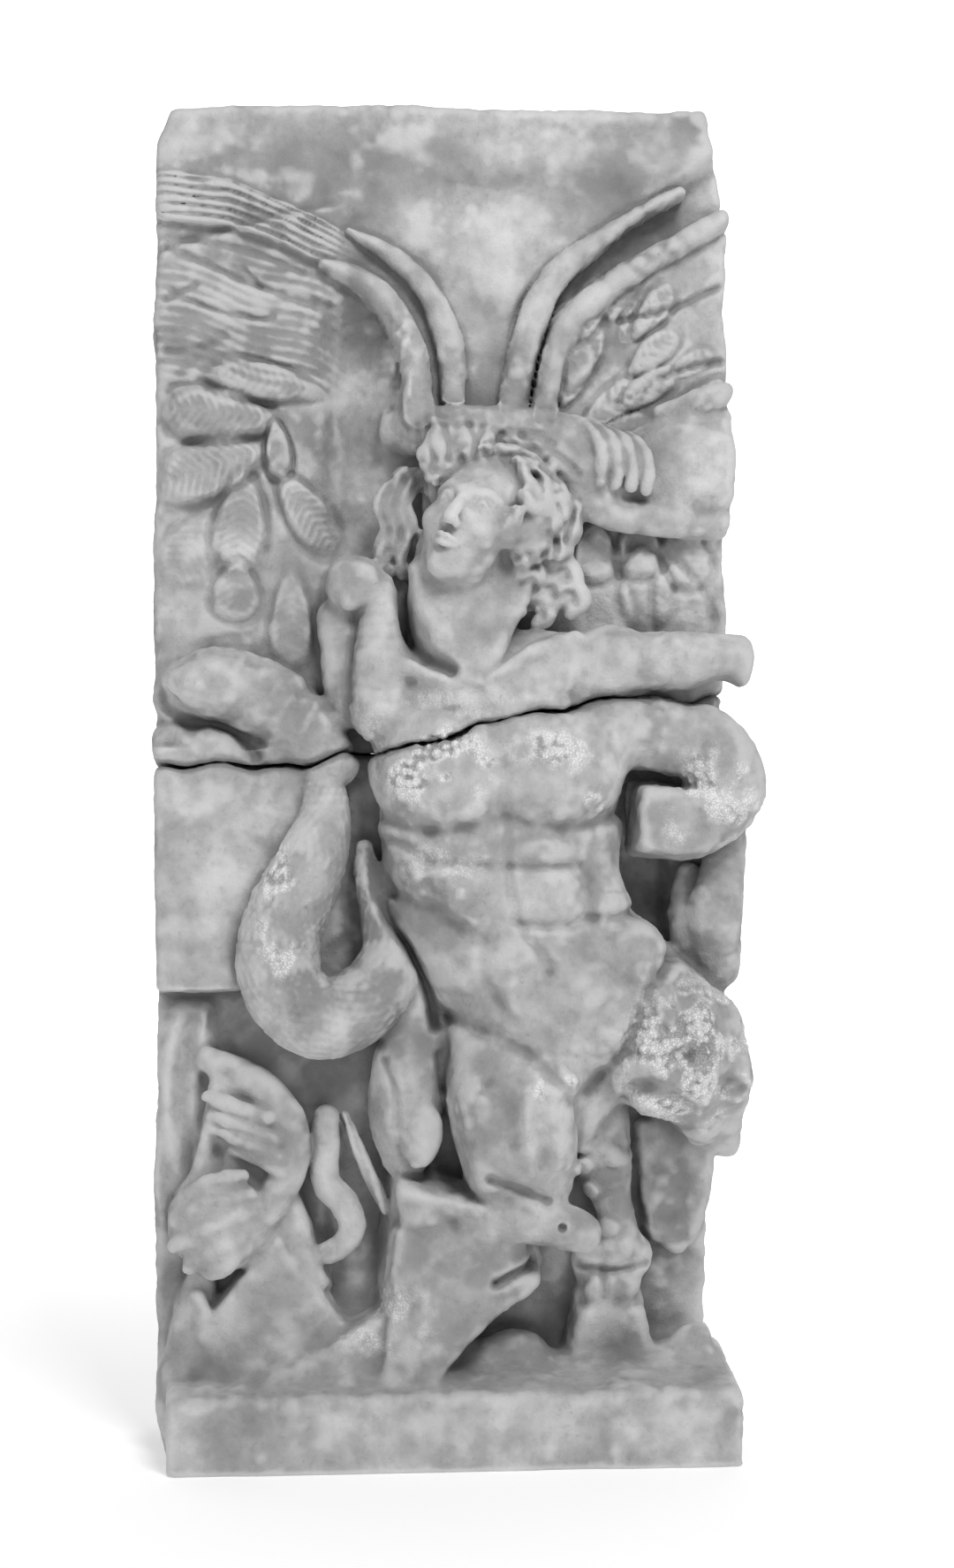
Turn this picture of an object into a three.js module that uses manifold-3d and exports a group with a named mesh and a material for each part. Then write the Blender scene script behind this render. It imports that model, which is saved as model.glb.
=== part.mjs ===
// A marble relief slab in two broken fragments: a winged youth kneels on a rock,
// one arm bent over the head, entwined by a serpent, above a plain base ledge.
//
// Millimetres, +Z up. The carved front faces -Y and the flat back faces +Y.
// The origin is the middle of the underside. "Depth" is the distance in front of
// the field, the flat ground that the relief stands out from.
import * as THREE from "three";
import { mergeVertices } from "three/addons/utils/BufferGeometryUtils.js";
import Module from "manifold-3d";

const wasm = await Module();
wasm.setup();

// ---------------------------------------------------------------- driving sizes
const slabHeight = 2300;
const slabLeft = -498;
const slabRight = { upper: 472, lower: 446 }; // the lower fragment is narrower
const ledgeHeight = 130;
const ledgeDepth = 200; // ledge front, in front of the field
const ledgeEnds = { left: -490, right: 468 };
const backY = 200; // flat back; the field is at y = 0
const figureHead = 250; // head height, the measure of the whole figure
const datum = { x: -12, z: -20 }; // where the relief's own grid starts on the slab
const jointGap = 0.4; // between the two fragments

const degrees = Math.PI / 180;

// A point of the relief: x to the right, z up, depth towards the viewer.
const at = (x, z, depth) => new THREE.Vector3(datum.x + x, -depth, datum.z + z);

// ---------------------------------------------------------------- solids
// A closed geometry as a manifold solid.
function solid(geometry) {
  const bare = geometry.index ? geometry.toNonIndexed() : geometry.clone();
  bare.deleteAttribute("normal");
  bare.deleteAttribute("uv");
  const merged = mergeVertices(bare, 1e-3);
  return new wasm.Manifold(
    new wasm.Mesh({
      numProp: 3,
      vertProperties: merged.attributes.position.array,
      triVerts: new Uint32Array(merged.index.array),
    }),
  );
}

function join(solids) {
  return solids.reduce((all, next) => all.add(next));
}

// The outer shell alone: pockets closed in between the forms are solid stone.
function outerShell(manifold) {
  const shells = manifold.decompose();
  return shells.reduce((best, next) => (next.volume() > best.volume() ? next : best));
}

// A manifold solid as a three.js geometry with flat faces.
function geometryOf(manifold) {
  const mesh = manifold.getMesh();
  const geometry = new THREE.BufferGeometry();
  geometry.setAttribute("position", new THREE.BufferAttribute(mesh.vertProperties, 3));
  geometry.setIndex(new THREE.BufferAttribute(mesh.triVerts, 1));
  const flat = geometry.toNonIndexed();
  flat.computeVertexNormals();
  return flat;
}

// A rounded muscle or stone. Its radii are across, up and out, and it leans
// clockwise, as the viewer sees it, by tilt degrees.
function lump(centre, radii, tilt = 0, around = 10) {
  const geometry = new THREE.SphereGeometry(1, around, Math.round(around * 0.6));
  geometry.rotateX(Math.PI / 2);
  geometry.scale(radii[0], radii[2], radii[1]);
  geometry.rotateY(tilt * degrees);
  geometry.translate(centre.x, centre.y, centre.z);
  return solid(geometry);
}

// A limb, coil or ridge: a round section swept along a smooth line through the
// points, its radius following theirs, with domed ends. "flat" is the section's
// depth over its width, and "dome" the ends' length over their radius.
function limb(points, radii, { sides = 10, stepsEach = 2, flat = 1, dome = 1 } = {}) {
  const curve = new THREE.CatmullRomCurve3(points, false, "centripetal");
  const spans = points.length - 1;
  const steps = spans * stepsEach;
  const rings = [];
  const ring = (t, shrink, push) => {
    const centre = curve.getPoint(t);
    const along = curve.getTangent(t);
    const out = new THREE.Vector3(0, -1, 0).addScaledVector(along, along.y).normalize();
    const side = new THREE.Vector3().crossVectors(out, along);
    const span = Math.min(Math.floor(t * spans), spans - 1);
    const radius = THREE.MathUtils.lerp(radii[span], radii[span + 1], t * spans - span);
    centre.addScaledVector(along, push * radius * dome);
    const loop = [];
    for (let k = 0; k < sides; k++) {
      const turn = (2 * Math.PI * k) / sides;
      loop.push(
        centre
          .clone()
          .addScaledVector(side, Math.cos(turn) * radius * shrink)
          .addScaledVector(out, Math.sin(turn) * radius * shrink * flat),
      );
    }
    return { loop, centre };
  };
  const eighth = 45 * degrees;
  rings.push(ring(0, Math.cos(eighth), -Math.sin(eighth)));
  for (let i = 0; i <= steps; i++) rings.push(ring(i / steps, 1, 0));
  rings.push(ring(1, Math.cos(eighth), Math.sin(eighth)));
  const corners = [];
  const tri = (a, b, c) => corners.push(...a.toArray(), ...b.toArray(), ...c.toArray());
  const tips = [ring(0, 0, -1).centre, ring(1, 0, 1).centre];
  for (let k = 0; k < sides; k++) {
    const next = (k + 1) % sides;
    for (let i = 0; i + 1 < rings.length; i++) {
      const [a, b] = [rings[i].loop, rings[i + 1].loop];
      tri(a[k], a[next], b[next]);
      tri(a[k], b[next], b[k]);
    }
    tri(tips[0], rings[0].loop[next], rings[0].loop[k]);
    tri(tips[1], rings.at(-1).loop[k], rings.at(-1).loop[next]);
  }
  const geometry = new THREE.BufferGeometry();
  geometry.setAttribute("position", new THREE.Float32BufferAttribute(corners, 3));
  return solid(geometry);
}

// A flat shape drawn as seen from the front, standing from one depth to another.
function plate(shape, fromDepth, toDepth, segments = 6) {
  const geometry = new THREE.ExtrudeGeometry(shape, {
    depth: toDepth - fromDepth,
    bevelEnabled: false,
    curveSegments: segments,
  });
  geometry.rotateX(Math.PI / 2);
  geometry.translate(0, -fromDepth, 0);
  return solid(geometry);
}

// A feather from its root to its round tip, lying over those behind it.
function feather(rootX, rootZ, angle, length, width, depth) {
  const shape = new THREE.Shape();
  const half = width / 2;
  shape.moveTo(0, -half * 0.6);
  shape.lineTo(length - half, -half);
  shape.absarc(length - half, 0, half, -Math.PI / 2, Math.PI / 2, false);
  shape.lineTo(0, half * 0.6);
  shape.closePath();
  const geometry = new THREE.ExtrudeGeometry(shape, {
    depth: depth + 10,
    bevelEnabled: false,
    curveSegments: 3,
  });
  geometry.rotateX(Math.PI / 2);
  geometry.rotateY(-angle * degrees);
  geometry.translate(datum.x + rootX, 10, datum.z + rootZ);
  return solid(geometry);
}

// Feathers that open like a fan round one root, each a little lower than the last.
function fan({ root, from, to, count, reach, width, depth, drop = 3 }) {
  const feathers = [];
  for (let i = 0; i < count; i++) {
    const share = count === 1 ? 0 : i / (count - 1);
    const angle = THREE.MathUtils.lerp(from, to, share);
    const length = THREE.MathUtils.lerp(reach[0], reach[1], share);
    feathers.push(feather(root[0], root[1], angle, length, width, depth - i * drop));
  }
  return feathers;
}

// ---------------------------------------------------------------- the block
const bump = (value, centre, spread) => Math.exp(-(((value - centre) / spread) ** 2));

function leftEdge(z) {
  return slabLeft - 14 * bump(z, 1400, 210) + 34 * bump(z, slabHeight, 70) + 24 * bump(z, 0, 45);
}

function rightEdge(z) {
  const lower = slabRight.lower + 46 * bump(z, 1020, 300);
  const upper = slabRight.upper - 36 * bump(z, slabHeight, 90);
  return z > 1280 ? upper : lower;
}

function topEdge(x) {
  return slabHeight - 8 + 8 * Math.sin((x + 260) / 170);
}

function outline() {
  const shape = new THREE.Shape();
  const step = 115;
  const top = slabHeight - 20;
  shape.moveTo(leftEdge(0), 0);
  shape.lineTo(rightEdge(0), 0);
  for (let z = step; z < top; z += step) shape.lineTo(rightEdge(z), z);
  for (let x = 425; x >= -460; x -= 98) shape.lineTo(x, topEdge(x));
  for (let z = top - 15; z > 0; z -= step) shape.lineTo(leftEdge(z), z);
  shape.closePath();
  return shape;
}

function ledge() {
  const profile = new THREE.Shape(); // y to the right, z up
  const wear = 8;
  profile.moveTo(50, 0);
  profile.lineTo(50, ledgeHeight + 60);
  profile.lineTo(0, ledgeHeight + 60);
  profile.lineTo(-60, ledgeHeight + 14);
  profile.lineTo(wear - ledgeDepth, ledgeHeight);
  profile.lineTo(-ledgeDepth, ledgeHeight - wear);
  profile.lineTo(-ledgeDepth, 0);
  profile.closePath();
  const length = ledgeEnds.right - ledgeEnds.left;
  const geometry = new THREE.ExtrudeGeometry(profile, { depth: length, bevelEnabled: false });
  const along = new THREE.Matrix4().makeBasis(
    new THREE.Vector3(0, 1, 0),
    new THREE.Vector3(0, 0, 1),
    new THREE.Vector3(1, 0, 0),
  );
  geometry.applyMatrix4(along);
  geometry.translate(ledgeEnds.left, 0, 0);
  return solid(geometry);
}

// The raised panel at the left, with a round lower end behind the serpent.
function panel() {
  const shape = new THREE.Shape();
  shape.moveTo(slabLeft - 20, 1210);
  shape.lineTo(slabLeft - 20, 810);
  shape.lineTo(-442, 806);
  shape.quadraticCurveTo(-377, 810, -362, 880);
  shape.quadraticCurveTo(-342, 990, -282, 1210);
  shape.closePath();
  return plate(shape, -20, 72);
}

// The rock that the figure kneels on: leaning slabs of stone.
function rock() {
  return [
    lump(at(-285, 175, 30), [130, 250, 95], 12),
    lump(at(-60, 150, 40), [190, 110, 110], -8),
    lump(at(330, 140, 10), [160, 70, 90], 0),
    lump(at(90, 160, 20), [130, 60, 90], 0),
  ];
}

// ---------------------------------------------------------------- the wings
function wings() {
  const ridge = { sides: 6, stepsEach: 1 };
  return [
    // outer and inner leading edges, left then right
    limb(
      [
        at(-20, 1800, 40),
        at(-34, 1948, 40),
        at(-94, 2037, 34),
        at(-183, 2094, 28),
        at(-318, 2149, 22),
        at(-470, 2182, 16),
      ],
      [30, 30, 26, 22, 18, 14],
      ridge,
    ),
    limb(
      [
        at(-60, 1790, 62),
        at(-70, 1920, 62),
        at(-128, 2000, 52),
        at(-228, 2056, 44),
        at(-347, 2096, 34),
        at(-470, 2120, 26),
      ],
      [34, 34, 28, 24, 20, 18],
      ridge,
    ),
    limb(
      [at(126, 1830, 36), at(156, 1950, 36), at(204, 2052, 32), at(278, 2119, 28), at(420, 2178, 22)],
      [28, 28, 24, 20, 16],
      ridge,
    ),
    limb(
      [at(176, 1790, 62), at(206, 1915, 62), at(264, 1995, 56), at(353, 2056, 48), at(452, 2112, 40)],
      [34, 34, 30, 26, 22],
      ridge,
    ),
    // long quills, then the shorter fans under them
    ...fan({ root: [-110, 1960], from: 158, to: 196, count: 5, reach: [385, 350], width: 74, depth: 62 }),
    ...fan({ root: [-225, 1760], from: 168, to: 312, count: 6, reach: [255, 175], width: 66, depth: 66 }),
    ...fan({ root: [-215, 1640], from: 205, to: 285, count: 4, reach: [190, 210], width: 62, depth: 44 }),
    ...fan({ root: [196, 1900], from: 42, to: 8, count: 4, reach: [330, 290], width: 76, depth: 62 }),
    ...fan({ root: [190, 1800], from: 30, to: -12, count: 4, reach: [250, 300], width: 70, depth: 70 }),
    ...fan({ root: [215, 1560], from: 28, to: -40, count: 5, reach: [150, 215], width: 70, depth: 60 }),
  ];
}

// ---------------------------------------------------------------- the figure
// The trunk has its own frame: across, down from the pit of the neck, and out.
const neckPit = { x: 70, z: 1374 };
const lean = 11.3; // degrees, the trunk's foot to the viewer's right

function trunkPoint(across, down, out) {
  const c = Math.cos(lean * degrees);
  const s = Math.sin(lean * degrees);
  return at(neckPit.x + across * c + down * s, neckPit.z + across * s - down * c, out);
}

function trunk() {
  const muscle = (across, down, out, radii, tilt = 0, around = 10) =>
    lump(trunkPoint(across, down, out), radii, tilt - lean, around);
  return [
    limb(
      [
        trunkPoint(-20, 60, 62),
        trunkPoint(-45, 180, 70),
        trunkPoint(-48, 320, 70),
        trunkPoint(-32, 450, 66),
        trunkPoint(-4, 570, 68),
        trunkPoint(10, 660, 66),
      ],
      [196, 226, 204, 172, 192, 150],
      { sides: 16, stepsEach: 2, flat: 0.6, dome: 0.4 },
    ),
    muscle(-150, 160, 172, [112, 82, 48], 10, 12), // chest muscles
    muscle(70, 180, 172, [110, 80, 48], -8, 12),
    muscle(-40, 110, 150, [120, 90, 56], 0, 12), // breastbone
    muscle(-74, 316, 168, [66, 52, 36]), // belly, upper row
    muscle(20, 318, 168, [66, 52, 36]),
    muscle(-68, 404, 158, [62, 52, 36]), // belly, middle row
    muscle(20, 404, 158, [62, 52, 36]),
    muscle(-12, 530, 148, [112, 112, 44], 0, 12), // lower belly
    muscle(-182, 330, 96, [48, 104, 56], -6), // flanks
    muscle(120, 330, 96, [44, 104, 56], 8),
    muscle(160, 500, 84, [66, 60, 62]), // hip bones
    muscle(-146, 520, 80, [58, 60, 58]),
  ];
}

function head() {
  const centre = { x: 72, z: 1572, depth: 130 };
  const tilt = 22;
  const c = Math.cos(tilt * degrees);
  const s = Math.sin(tilt * degrees);
  const half = figureHead / 2;
  const place = (across, up, out) =>
    at(centre.x + across * c + up * s, centre.z - across * s + up * c, centre.depth + out);
  return [
    lump(place(14, half * 0.12, -20), [half * 0.92, half * 0.92, half * 0.84], tilt, 14), // skull and hair
    lump(place(-14, -half * 0.25, 16), [half * 0.58, half * 0.78, half * 0.64], tilt, 12), // face
    lump(place(-30, -half * 0.22, 92), [half * 0.14, half * 0.26, half * 0.2], tilt, 8), // nose
    lump(place(-22, -half * 0.82, 54), [half * 0.26, half * 0.2, half * 0.24], tilt, 8), // chin
    limb([at(60, 1500, 88), at(58, 1420, 98), at(70, 1340, 92)], [66, 64, 78], { sides: 12 }), // neck
    limb([place(-104, 70, -6), place(-120, -20, -22), place(-128, -110, -40)], [30, 32, 26], { sides: 8 }),
    limb([place(96, -30, -20), place(104, -90, -26), place(70, -136, -20)], [40, 44, 30], { sides: 8 }),
  ];
}

function arms() {
  return [
    // the raised arm's forearm over the head, its fist at the right holding gathered cloth
    limb(
      [
        at(432, 1668, 74),
        at(352, 1690, 92),
        at(262, 1712, 104),
        at(160, 1752, 104),
        at(60, 1772, 100),
        at(-84, 1752, 84),
      ],
      [82, 80, 70, 52, 46, 40],
    ),
    // the side of the chest under the raised arm, down to the serpent's coil
    limb([at(-92, 1392, 84), at(-160, 1320, 84), at(-206, 1216, 60)], [84, 66, 52]),
    lump(at(-166, 1496, 50), [48, 50, 52], 20), // broken stump of the raised upper arm
    limb([at(-176, 1480, 36), at(-190, 1400, 40), at(-196, 1290, 40)], [40, 46, 44], { sides: 8 }),
    // shoulders, and the outstretched arm broken off past the slab's edge
    limb([at(-90, 1376, 84), at(70, 1352, 96), at(250, 1358, 92)], [72, 76, 80]),
    limb(
      [at(235, 1362, 100), at(330, 1384, 106), at(420, 1374, 108), at(466, 1362, 106)],
      [74, 60, 56, 50],
    ),
  ];
}

function legs() {
  return [
    // bent leg, kneeling
    limb(
      [at(96, 760, 80), at(94, 640, 108), at(108, 540, 118), at(130, 450, 112)],
      [116, 110, 96, 78],
      { sides: 14 },
    ),
    lump(at(132, 432, 122), [76, 66, 68]),
    // thigh of the other leg, broken off at the slab's edge
    limb(
      [at(250, 770, 76), at(340, 706, 92), at(424, 650, 88)],
      [112, 122, 104],
      { sides: 14, dome: 0.5 },
    ),
    // foot of the kneeling leg, sole outwards
    limb([at(-50, 740, 36), at(-66, 650, 50), at(-58, 550, 56)], [44, 60, 58], { sides: 10 }),
    // cloak spread over the rock under the knee
    limb([at(118, 400, 74), at(20, 300, 70), at(-60, 200, 50)], [88, 108, 110], { sides: 10 }),
    // a weathered shin and foot, low in the background at the right
    limb(
      [at(262, 600, 24), at(278, 480, 30), at(286, 380, 28), at(282, 306, 34)],
      [46, 48, 38, 44],
      { sides: 8 },
    ),
    lump(at(402, 440, 0), [50, 130, 56]),
  ];
}

// ---------------------------------------------------------------- the serpent
function serpent() {
  const coil = { sides: 10, stepsEach: 1 };
  return [
    // in from the left edge and over the break
    limb(
      [at(-440, 1340, 40), at(-360, 1322, 50), at(-276, 1276, 50), at(-226, 1200, 44)],
      [58, 62, 58, 50],
      { ...coil, stepsEach: 2 },
    ),
    lump(at(-400, 1252, 26), [80, 66, 60]),
    // down and round in one hanging loop
    limb(
      [
        at(-196, 1230, 44),
        at(-222, 1110, 50),
        at(-262, 990, 56),
        at(-284, 900, 58),
        at(-262, 812, 60),
        at(-196, 772, 60),
        at(-126, 812, 58),
        at(-104, 900, 50),
        at(-128, 1050, 26),
      ],
      [48, 56, 64, 68, 68, 68, 66, 56, 36],
      { ...coil, stepsEach: 2 },
    ),
    // a second coil at the right, below the broken arm
    limb(
      [
        at(300, 1236, 58),
        at(390, 1246, 70),
        at(462, 1216, 70),
        at(486, 1150, 68),
        at(450, 1088, 66),
        at(380, 1078, 62),
      ],
      [56, 58, 60, 60, 60, 58],
      coil,
    ),
    // rearing neck and head at the lower left
    limb(
      [
        at(-420, 700, 10),
        at(-346, 660, 34),
        at(-296, 580, 50),
        at(-322, 480, 60),
        at(-392, 420, 64),
        at(-424, 360, 50),
      ],
      [40, 54, 60, 58, 64, 44],
      { ...coil, stepsEach: 2 },
    ),
    // tail
    limb(
      [
        at(-198, 590, 12),
        at(-214, 520, 22),
        at(-196, 470, 24),
        at(-160, 420, 24),
        at(-184, 376, 24),
        at(-250, 352, 16),
      ],
      [26, 30, 30, 30, 27, 20],
      { ...coil, sides: 8 },
    ),
    // small head laid over the knee
    limb([at(140, 420, 168), at(196, 408, 166), at(230, 392, 152)], [36, 42, 30], { ...coil, sides: 8 }),
    // what is left of a drape behind the coil
    lump(at(440, 930, 4), [60, 180, 70]),
  ];
}

// ---------------------------------------------------------------- the fracture
// Height of the break across the slab: level at the left, rising to the right.
function breakHeight(x) {
  const rise = THREE.MathUtils.smoothstep(x, -330, 340);
  return 1172 + 117 * rise + 4 * Math.sin(x / 37) + 3 * Math.sin(x / 17);
}

function belowBreak(shift) {
  const reach = 700;
  const shape = new THREE.Shape();
  shape.moveTo(-reach, -200);
  shape.lineTo(reach, -200);
  for (let x = reach; x >= -reach; x -= 50) shape.lineTo(x, breakHeight(x) + shift);
  shape.closePath();
  return plate(shape, -backY - 50, 400);
}

// ---------------------------------------------------------------- the part
// Nothing may stand behind the flat back or under the flat underside.
function envelope() {
  const geometry = new THREE.BoxGeometry(1300, 600, slabHeight + 100);
  geometry.translate(0, backY - 300, (slabHeight + 100) / 2);
  return solid(geometry);
}

const slabOutline = outline();
const aheadOfSlab = plate(slabOutline, -20, 300);

const whole = join([
  plate(slabOutline, -backY, 0),
  ledge(),
  join([panel(), ...wings()]).intersect(aheadOfSlab),
  ...rock(),
  ...trunk(),
  ...head(),
  ...arms(),
  ...legs(),
  ...serpent(),
]).intersect(envelope());

const marble = { color: 0xb4b4b2, roughness: 0.75, metalness: 0 };

function fragment(name, manifold) {
  const mesh = new THREE.Mesh(geometryOf(manifold), new THREE.MeshStandardMaterial(marble));
  mesh.name = name;
  return mesh;
}

const slab = new THREE.Group();
slab.name = "relief_slab";
slab.add(fragment("lower_fragment", outerShell(whole.intersect(belowBreak(0)))));
slab.add(fragment("upper_fragment", outerShell(whole.subtract(belowBreak(jointGap)))));

export default slab;
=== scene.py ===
import math
import bpy
import numpy as np
import openvdb as vdb
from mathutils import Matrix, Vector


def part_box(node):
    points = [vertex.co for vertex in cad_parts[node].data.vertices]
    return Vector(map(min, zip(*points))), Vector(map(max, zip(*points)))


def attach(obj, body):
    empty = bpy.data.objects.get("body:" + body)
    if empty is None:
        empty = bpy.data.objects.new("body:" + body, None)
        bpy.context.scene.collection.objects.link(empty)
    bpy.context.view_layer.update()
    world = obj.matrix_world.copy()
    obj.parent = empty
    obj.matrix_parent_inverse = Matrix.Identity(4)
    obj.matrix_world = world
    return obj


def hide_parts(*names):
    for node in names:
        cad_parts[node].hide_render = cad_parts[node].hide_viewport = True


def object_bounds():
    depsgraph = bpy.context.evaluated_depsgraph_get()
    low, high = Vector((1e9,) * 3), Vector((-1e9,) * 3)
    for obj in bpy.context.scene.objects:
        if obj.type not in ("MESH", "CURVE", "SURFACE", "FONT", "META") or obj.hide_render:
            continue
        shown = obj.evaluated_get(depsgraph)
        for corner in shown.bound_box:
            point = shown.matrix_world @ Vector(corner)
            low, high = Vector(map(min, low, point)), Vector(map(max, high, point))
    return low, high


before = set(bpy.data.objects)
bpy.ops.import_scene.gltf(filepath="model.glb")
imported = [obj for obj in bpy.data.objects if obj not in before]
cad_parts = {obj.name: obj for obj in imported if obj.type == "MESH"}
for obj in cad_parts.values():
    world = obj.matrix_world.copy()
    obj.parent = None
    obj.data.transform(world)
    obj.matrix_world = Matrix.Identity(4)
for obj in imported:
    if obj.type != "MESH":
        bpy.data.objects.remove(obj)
cadLow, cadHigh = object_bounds()
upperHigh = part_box("upper_fragment")[1]

# Metres. x runs to the right and z up; depth is the distance in front of the field,
# the flat ground of the relief, and the carved front looks towards -y.
slab = {
    "top": upperHigh.z,
    "back": upperHigh.y,
    "left": -0.509,
    "rightUpper": 0.472,
    "rightLower": 0.446,
    "ledgeHeight": 0.130,
    "ledgeDepth": 0.200,
    "ledgeLeft": -0.490,
    "ledgeRight": 0.468,
}
datum = (-0.012, -0.020)  # where the relief's own grid starts on the slab
carving = {
    "step": 0.0032,  # the finest detail that the clay holds
    "margin": 0.020,
    "triangles": 192000,
    "wear": 0.0020,
    "lowestBreak": 1.140,  # the two fragments' grids overlap between these heights
    "highestBreak": 1.330,
}


def spot(x, z, depth):
    return np.array([datum[0] + x, -depth, datum[1] + z])


def leaning(degrees):
    # rows are the across, up and out directions of a form that leans clockwise
    c = math.cos(math.radians(degrees))
    s = math.sin(math.radians(degrees))
    return np.array([[c, 0, -s], [s, 0, c], [0, -1, 0]])


upright = leaning(0)


def soft(values, low, high):
    t = np.clip((values - low) / (high - low), 0, 1)
    return t * t * (3 - 2 * t)


def hill(values, centre, spread):
    return np.exp(-(((values - centre) / spread) ** 2))


def blended(a, b, width):
    # the lower of two distances, rounded where they meet
    if width <= 0:
        return np.minimum(a, b)
    near = np.maximum(width - np.abs(a - b), 0)
    return np.minimum(a, b) - near * near / (4 * width)


class Grit:
    # seeded smooth noise from -1 to 1
    def __init__(self, seed):
        self.table = np.random.default_rng(seed).uniform(-1, 1, (32, 32, 32)).astype(np.float32)

    def at(self, x, y, z, size):
        cells = [np.floor(v / size).astype(np.int64) for v in (x, y, z)]
        parts = [v / size - c for v, c in zip((x, y, z), cells)]
        parts = [p * p * (3 - 2 * p) for p in parts]
        total = 0.0
        for corner in range(8):
            steps = [(corner >> i) & 1 for i in range(3)]
            weight = 1.0
            for step, part in zip(steps, parts):
                weight = weight * (part if step else 1 - part)
            i, j, k = [(c + s) % 32 for c, s in zip(cells, steps)]
            total = total + weight * self.table[i, j, k]
        return total

    def layered(self, x, y, z, size, octaves):
        total, gain = 0.0, 1.0
        for octave in range(octaves):
            total = total + gain * self.at(x + 7.1 * octave, y, z + 3.7 * octave, size / 2 ** octave)
            gain *= 0.5
        return total


class Clay:
    # distances to the carved surface on a regular grid, negative inside the stone
    def __init__(self, low, high, step):
        self.low, self.step = np.array(low, float), step
        counts = [int(math.ceil((b - a) / step)) + 1 for a, b in zip(low, high)]
        self.axes = [
            (a + step * np.arange(n)).astype(np.float32) for a, n in zip(low, counts)
        ]
        self.dist = np.full(counts, 0.06, np.float32)

    def window(self, low, high):
        spans = []
        for axis, a, b in zip(self.axes, low, high):
            first = max(int((a - axis[0]) / self.step), 0)
            last = min(int((b - axis[0]) / self.step) + 2, len(axis))
            if first >= last:
                return None
            spans.append(slice(first, last))
        x, y, z = (axis[span] for axis, span in zip(self.axes, spans))
        return tuple(spans), (x[:, None, None], y[None, :, None], z[None, None, :])

    def merge(self, spans, dist, blend, carve):
        if carve:
            self.dist[spans] = -blended(-self.dist[spans], dist, blend)
        else:
            self.dist[spans] = blended(self.dist[spans], dist, blend)

    def ball(self, centre, radii, turn=upright, blend=0.012, carve=False):
        radii = np.array(radii)
        reach = np.sqrt(((turn * radii[:, None]) ** 2).sum(0)) + blend + 2 * self.step
        found = self.window(centre - reach, centre + reach)
        if found is None:
            return
        spans, (x, y, z) = found
        x, y, z = x - centre[0], y - centre[1], z - centre[2]
        near, slope = 0.0, 0.0
        for row, radius in zip(turn, radii):
            along = x * row[0] + y * row[1] + z * row[2]
            near = near + (along / radius) ** 2
            slope = slope + (along / radius ** 2) ** 2
        near, slope = np.sqrt(near), np.sqrt(slope)
        dist = near * (near - 1) / np.maximum(slope, 1e-6)
        self.merge(spans, dist.astype(np.float32), blend, carve)

    def limb(self, points, radii, blend=0.012, flat=1.0, carve=False, skin=None, steps=5):
        # a round form swept along a smooth line, its radius following the points'
        line = smoothLine(np.column_stack([np.array(points), np.array(radii)]), steps)
        pad = line[:, 3].max() * max(1.0, flat) + blend + 2 * self.step
        outer = self.window(line[:, :3].min(0) - pad, line[:, :3].max(0) + pad)
        if outer is None:
            return
        spans = outer[0]
        dist = np.full([s.stop - s.start for s in spans], 0.06, np.float32)
        gone = 0.0
        for start, end in zip(line[:-1], line[1:]):
            a, b, ra, rb = start[:3], end[:3], start[3], end[3]
            length = np.linalg.norm(b - a)
            pad = max(ra, rb) * max(1.0, flat) + blend + 2 * self.step
            found = self.window(np.minimum(a, b) - pad, np.maximum(a, b) + pad)
            if found is not None:
                inner, (x, y, z) = found
                place = tuple(
                    slice(i.start - o.start, i.stop - o.start) for i, o in zip(inner, spans)
                )
                x, y, z = x - a[0], (y - a[1]) / flat, z - a[2]
                way = (b - a) / np.array([1, flat, 1])
                share = np.clip((x * way[0] + y * way[1] + z * way[2]) / (way @ way), 0, 1)
                x, y, z = x - share * way[0], y - share * way[1], z - share * way[2]
                radius = ra + share * (rb - ra)
                piece = np.sqrt(x * x + y * y + z * z) - radius
                if skin is not None:
                    along = way / np.linalg.norm(way)
                    out = np.array([0, -1, 0]) + along * along[1]
                    out = out / max(np.linalg.norm(out), 1e-6)
                    side = np.cross(out, along)
                    angle = np.arctan2(
                        x * side[0] + y * side[1] + z * side[2], x * out[0] + y * out[1] + z * out[2]
                    )
                    piece = piece - skin(gone + share * length, angle, radius)
                dist[place] = np.minimum(dist[place], piece)
            gone += length
        self.merge(spans, dist, blend, carve)

    def facets(self, centre, reach, planes, blend=0.012, edge=0.01, carve=False):
        # a block of stone between planes, each an outward direction and its distance
        found = self.window(centre - np.array(reach), centre + np.array(reach))
        if found is None:
            return
        spans, (x, y, z) = found
        dist = None
        for across, up, out, offset in planes:
            size = math.sqrt(across ** 2 + up ** 2 + out ** 2)
            side = (x - centre[0]) * across - (y - centre[1]) * out + (z - centre[2]) * up
            side = side / size - offset
            dist = side if dist is None else -blended(-dist, -side, edge)
        self.merge(spans, dist.astype(np.float32), blend, carve)

    def swell(self, across, up, half, tall, rise, tilt=0, firm=1.0, behind=0.05):
        # raises the front about a place, or below nought presses it in; firmer has a clearer edge
        centre = spot(across, up, 0)
        reach = 2.4 * max(half, tall)
        found = self.window(
            (centre[0] - reach, -0.5, centre[2] - reach),
            (centre[0] + reach, 0.03 - behind, centre[2] + reach))
        if found is None:
            return
        spans, (x, y, z) = found
        c, s = math.cos(math.radians(tilt)), math.sin(math.radians(tilt))
        x, z = x - centre[0], z - centre[2]
        away = ((x * c - z * s) / half) ** 2 + ((x * s + z * c) / tall) ** 2
        front = soft(-y, behind - 0.03, behind)
        self.dist[spans] -= (rise * np.exp(-away ** firm) * front).astype(np.float32)

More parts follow.
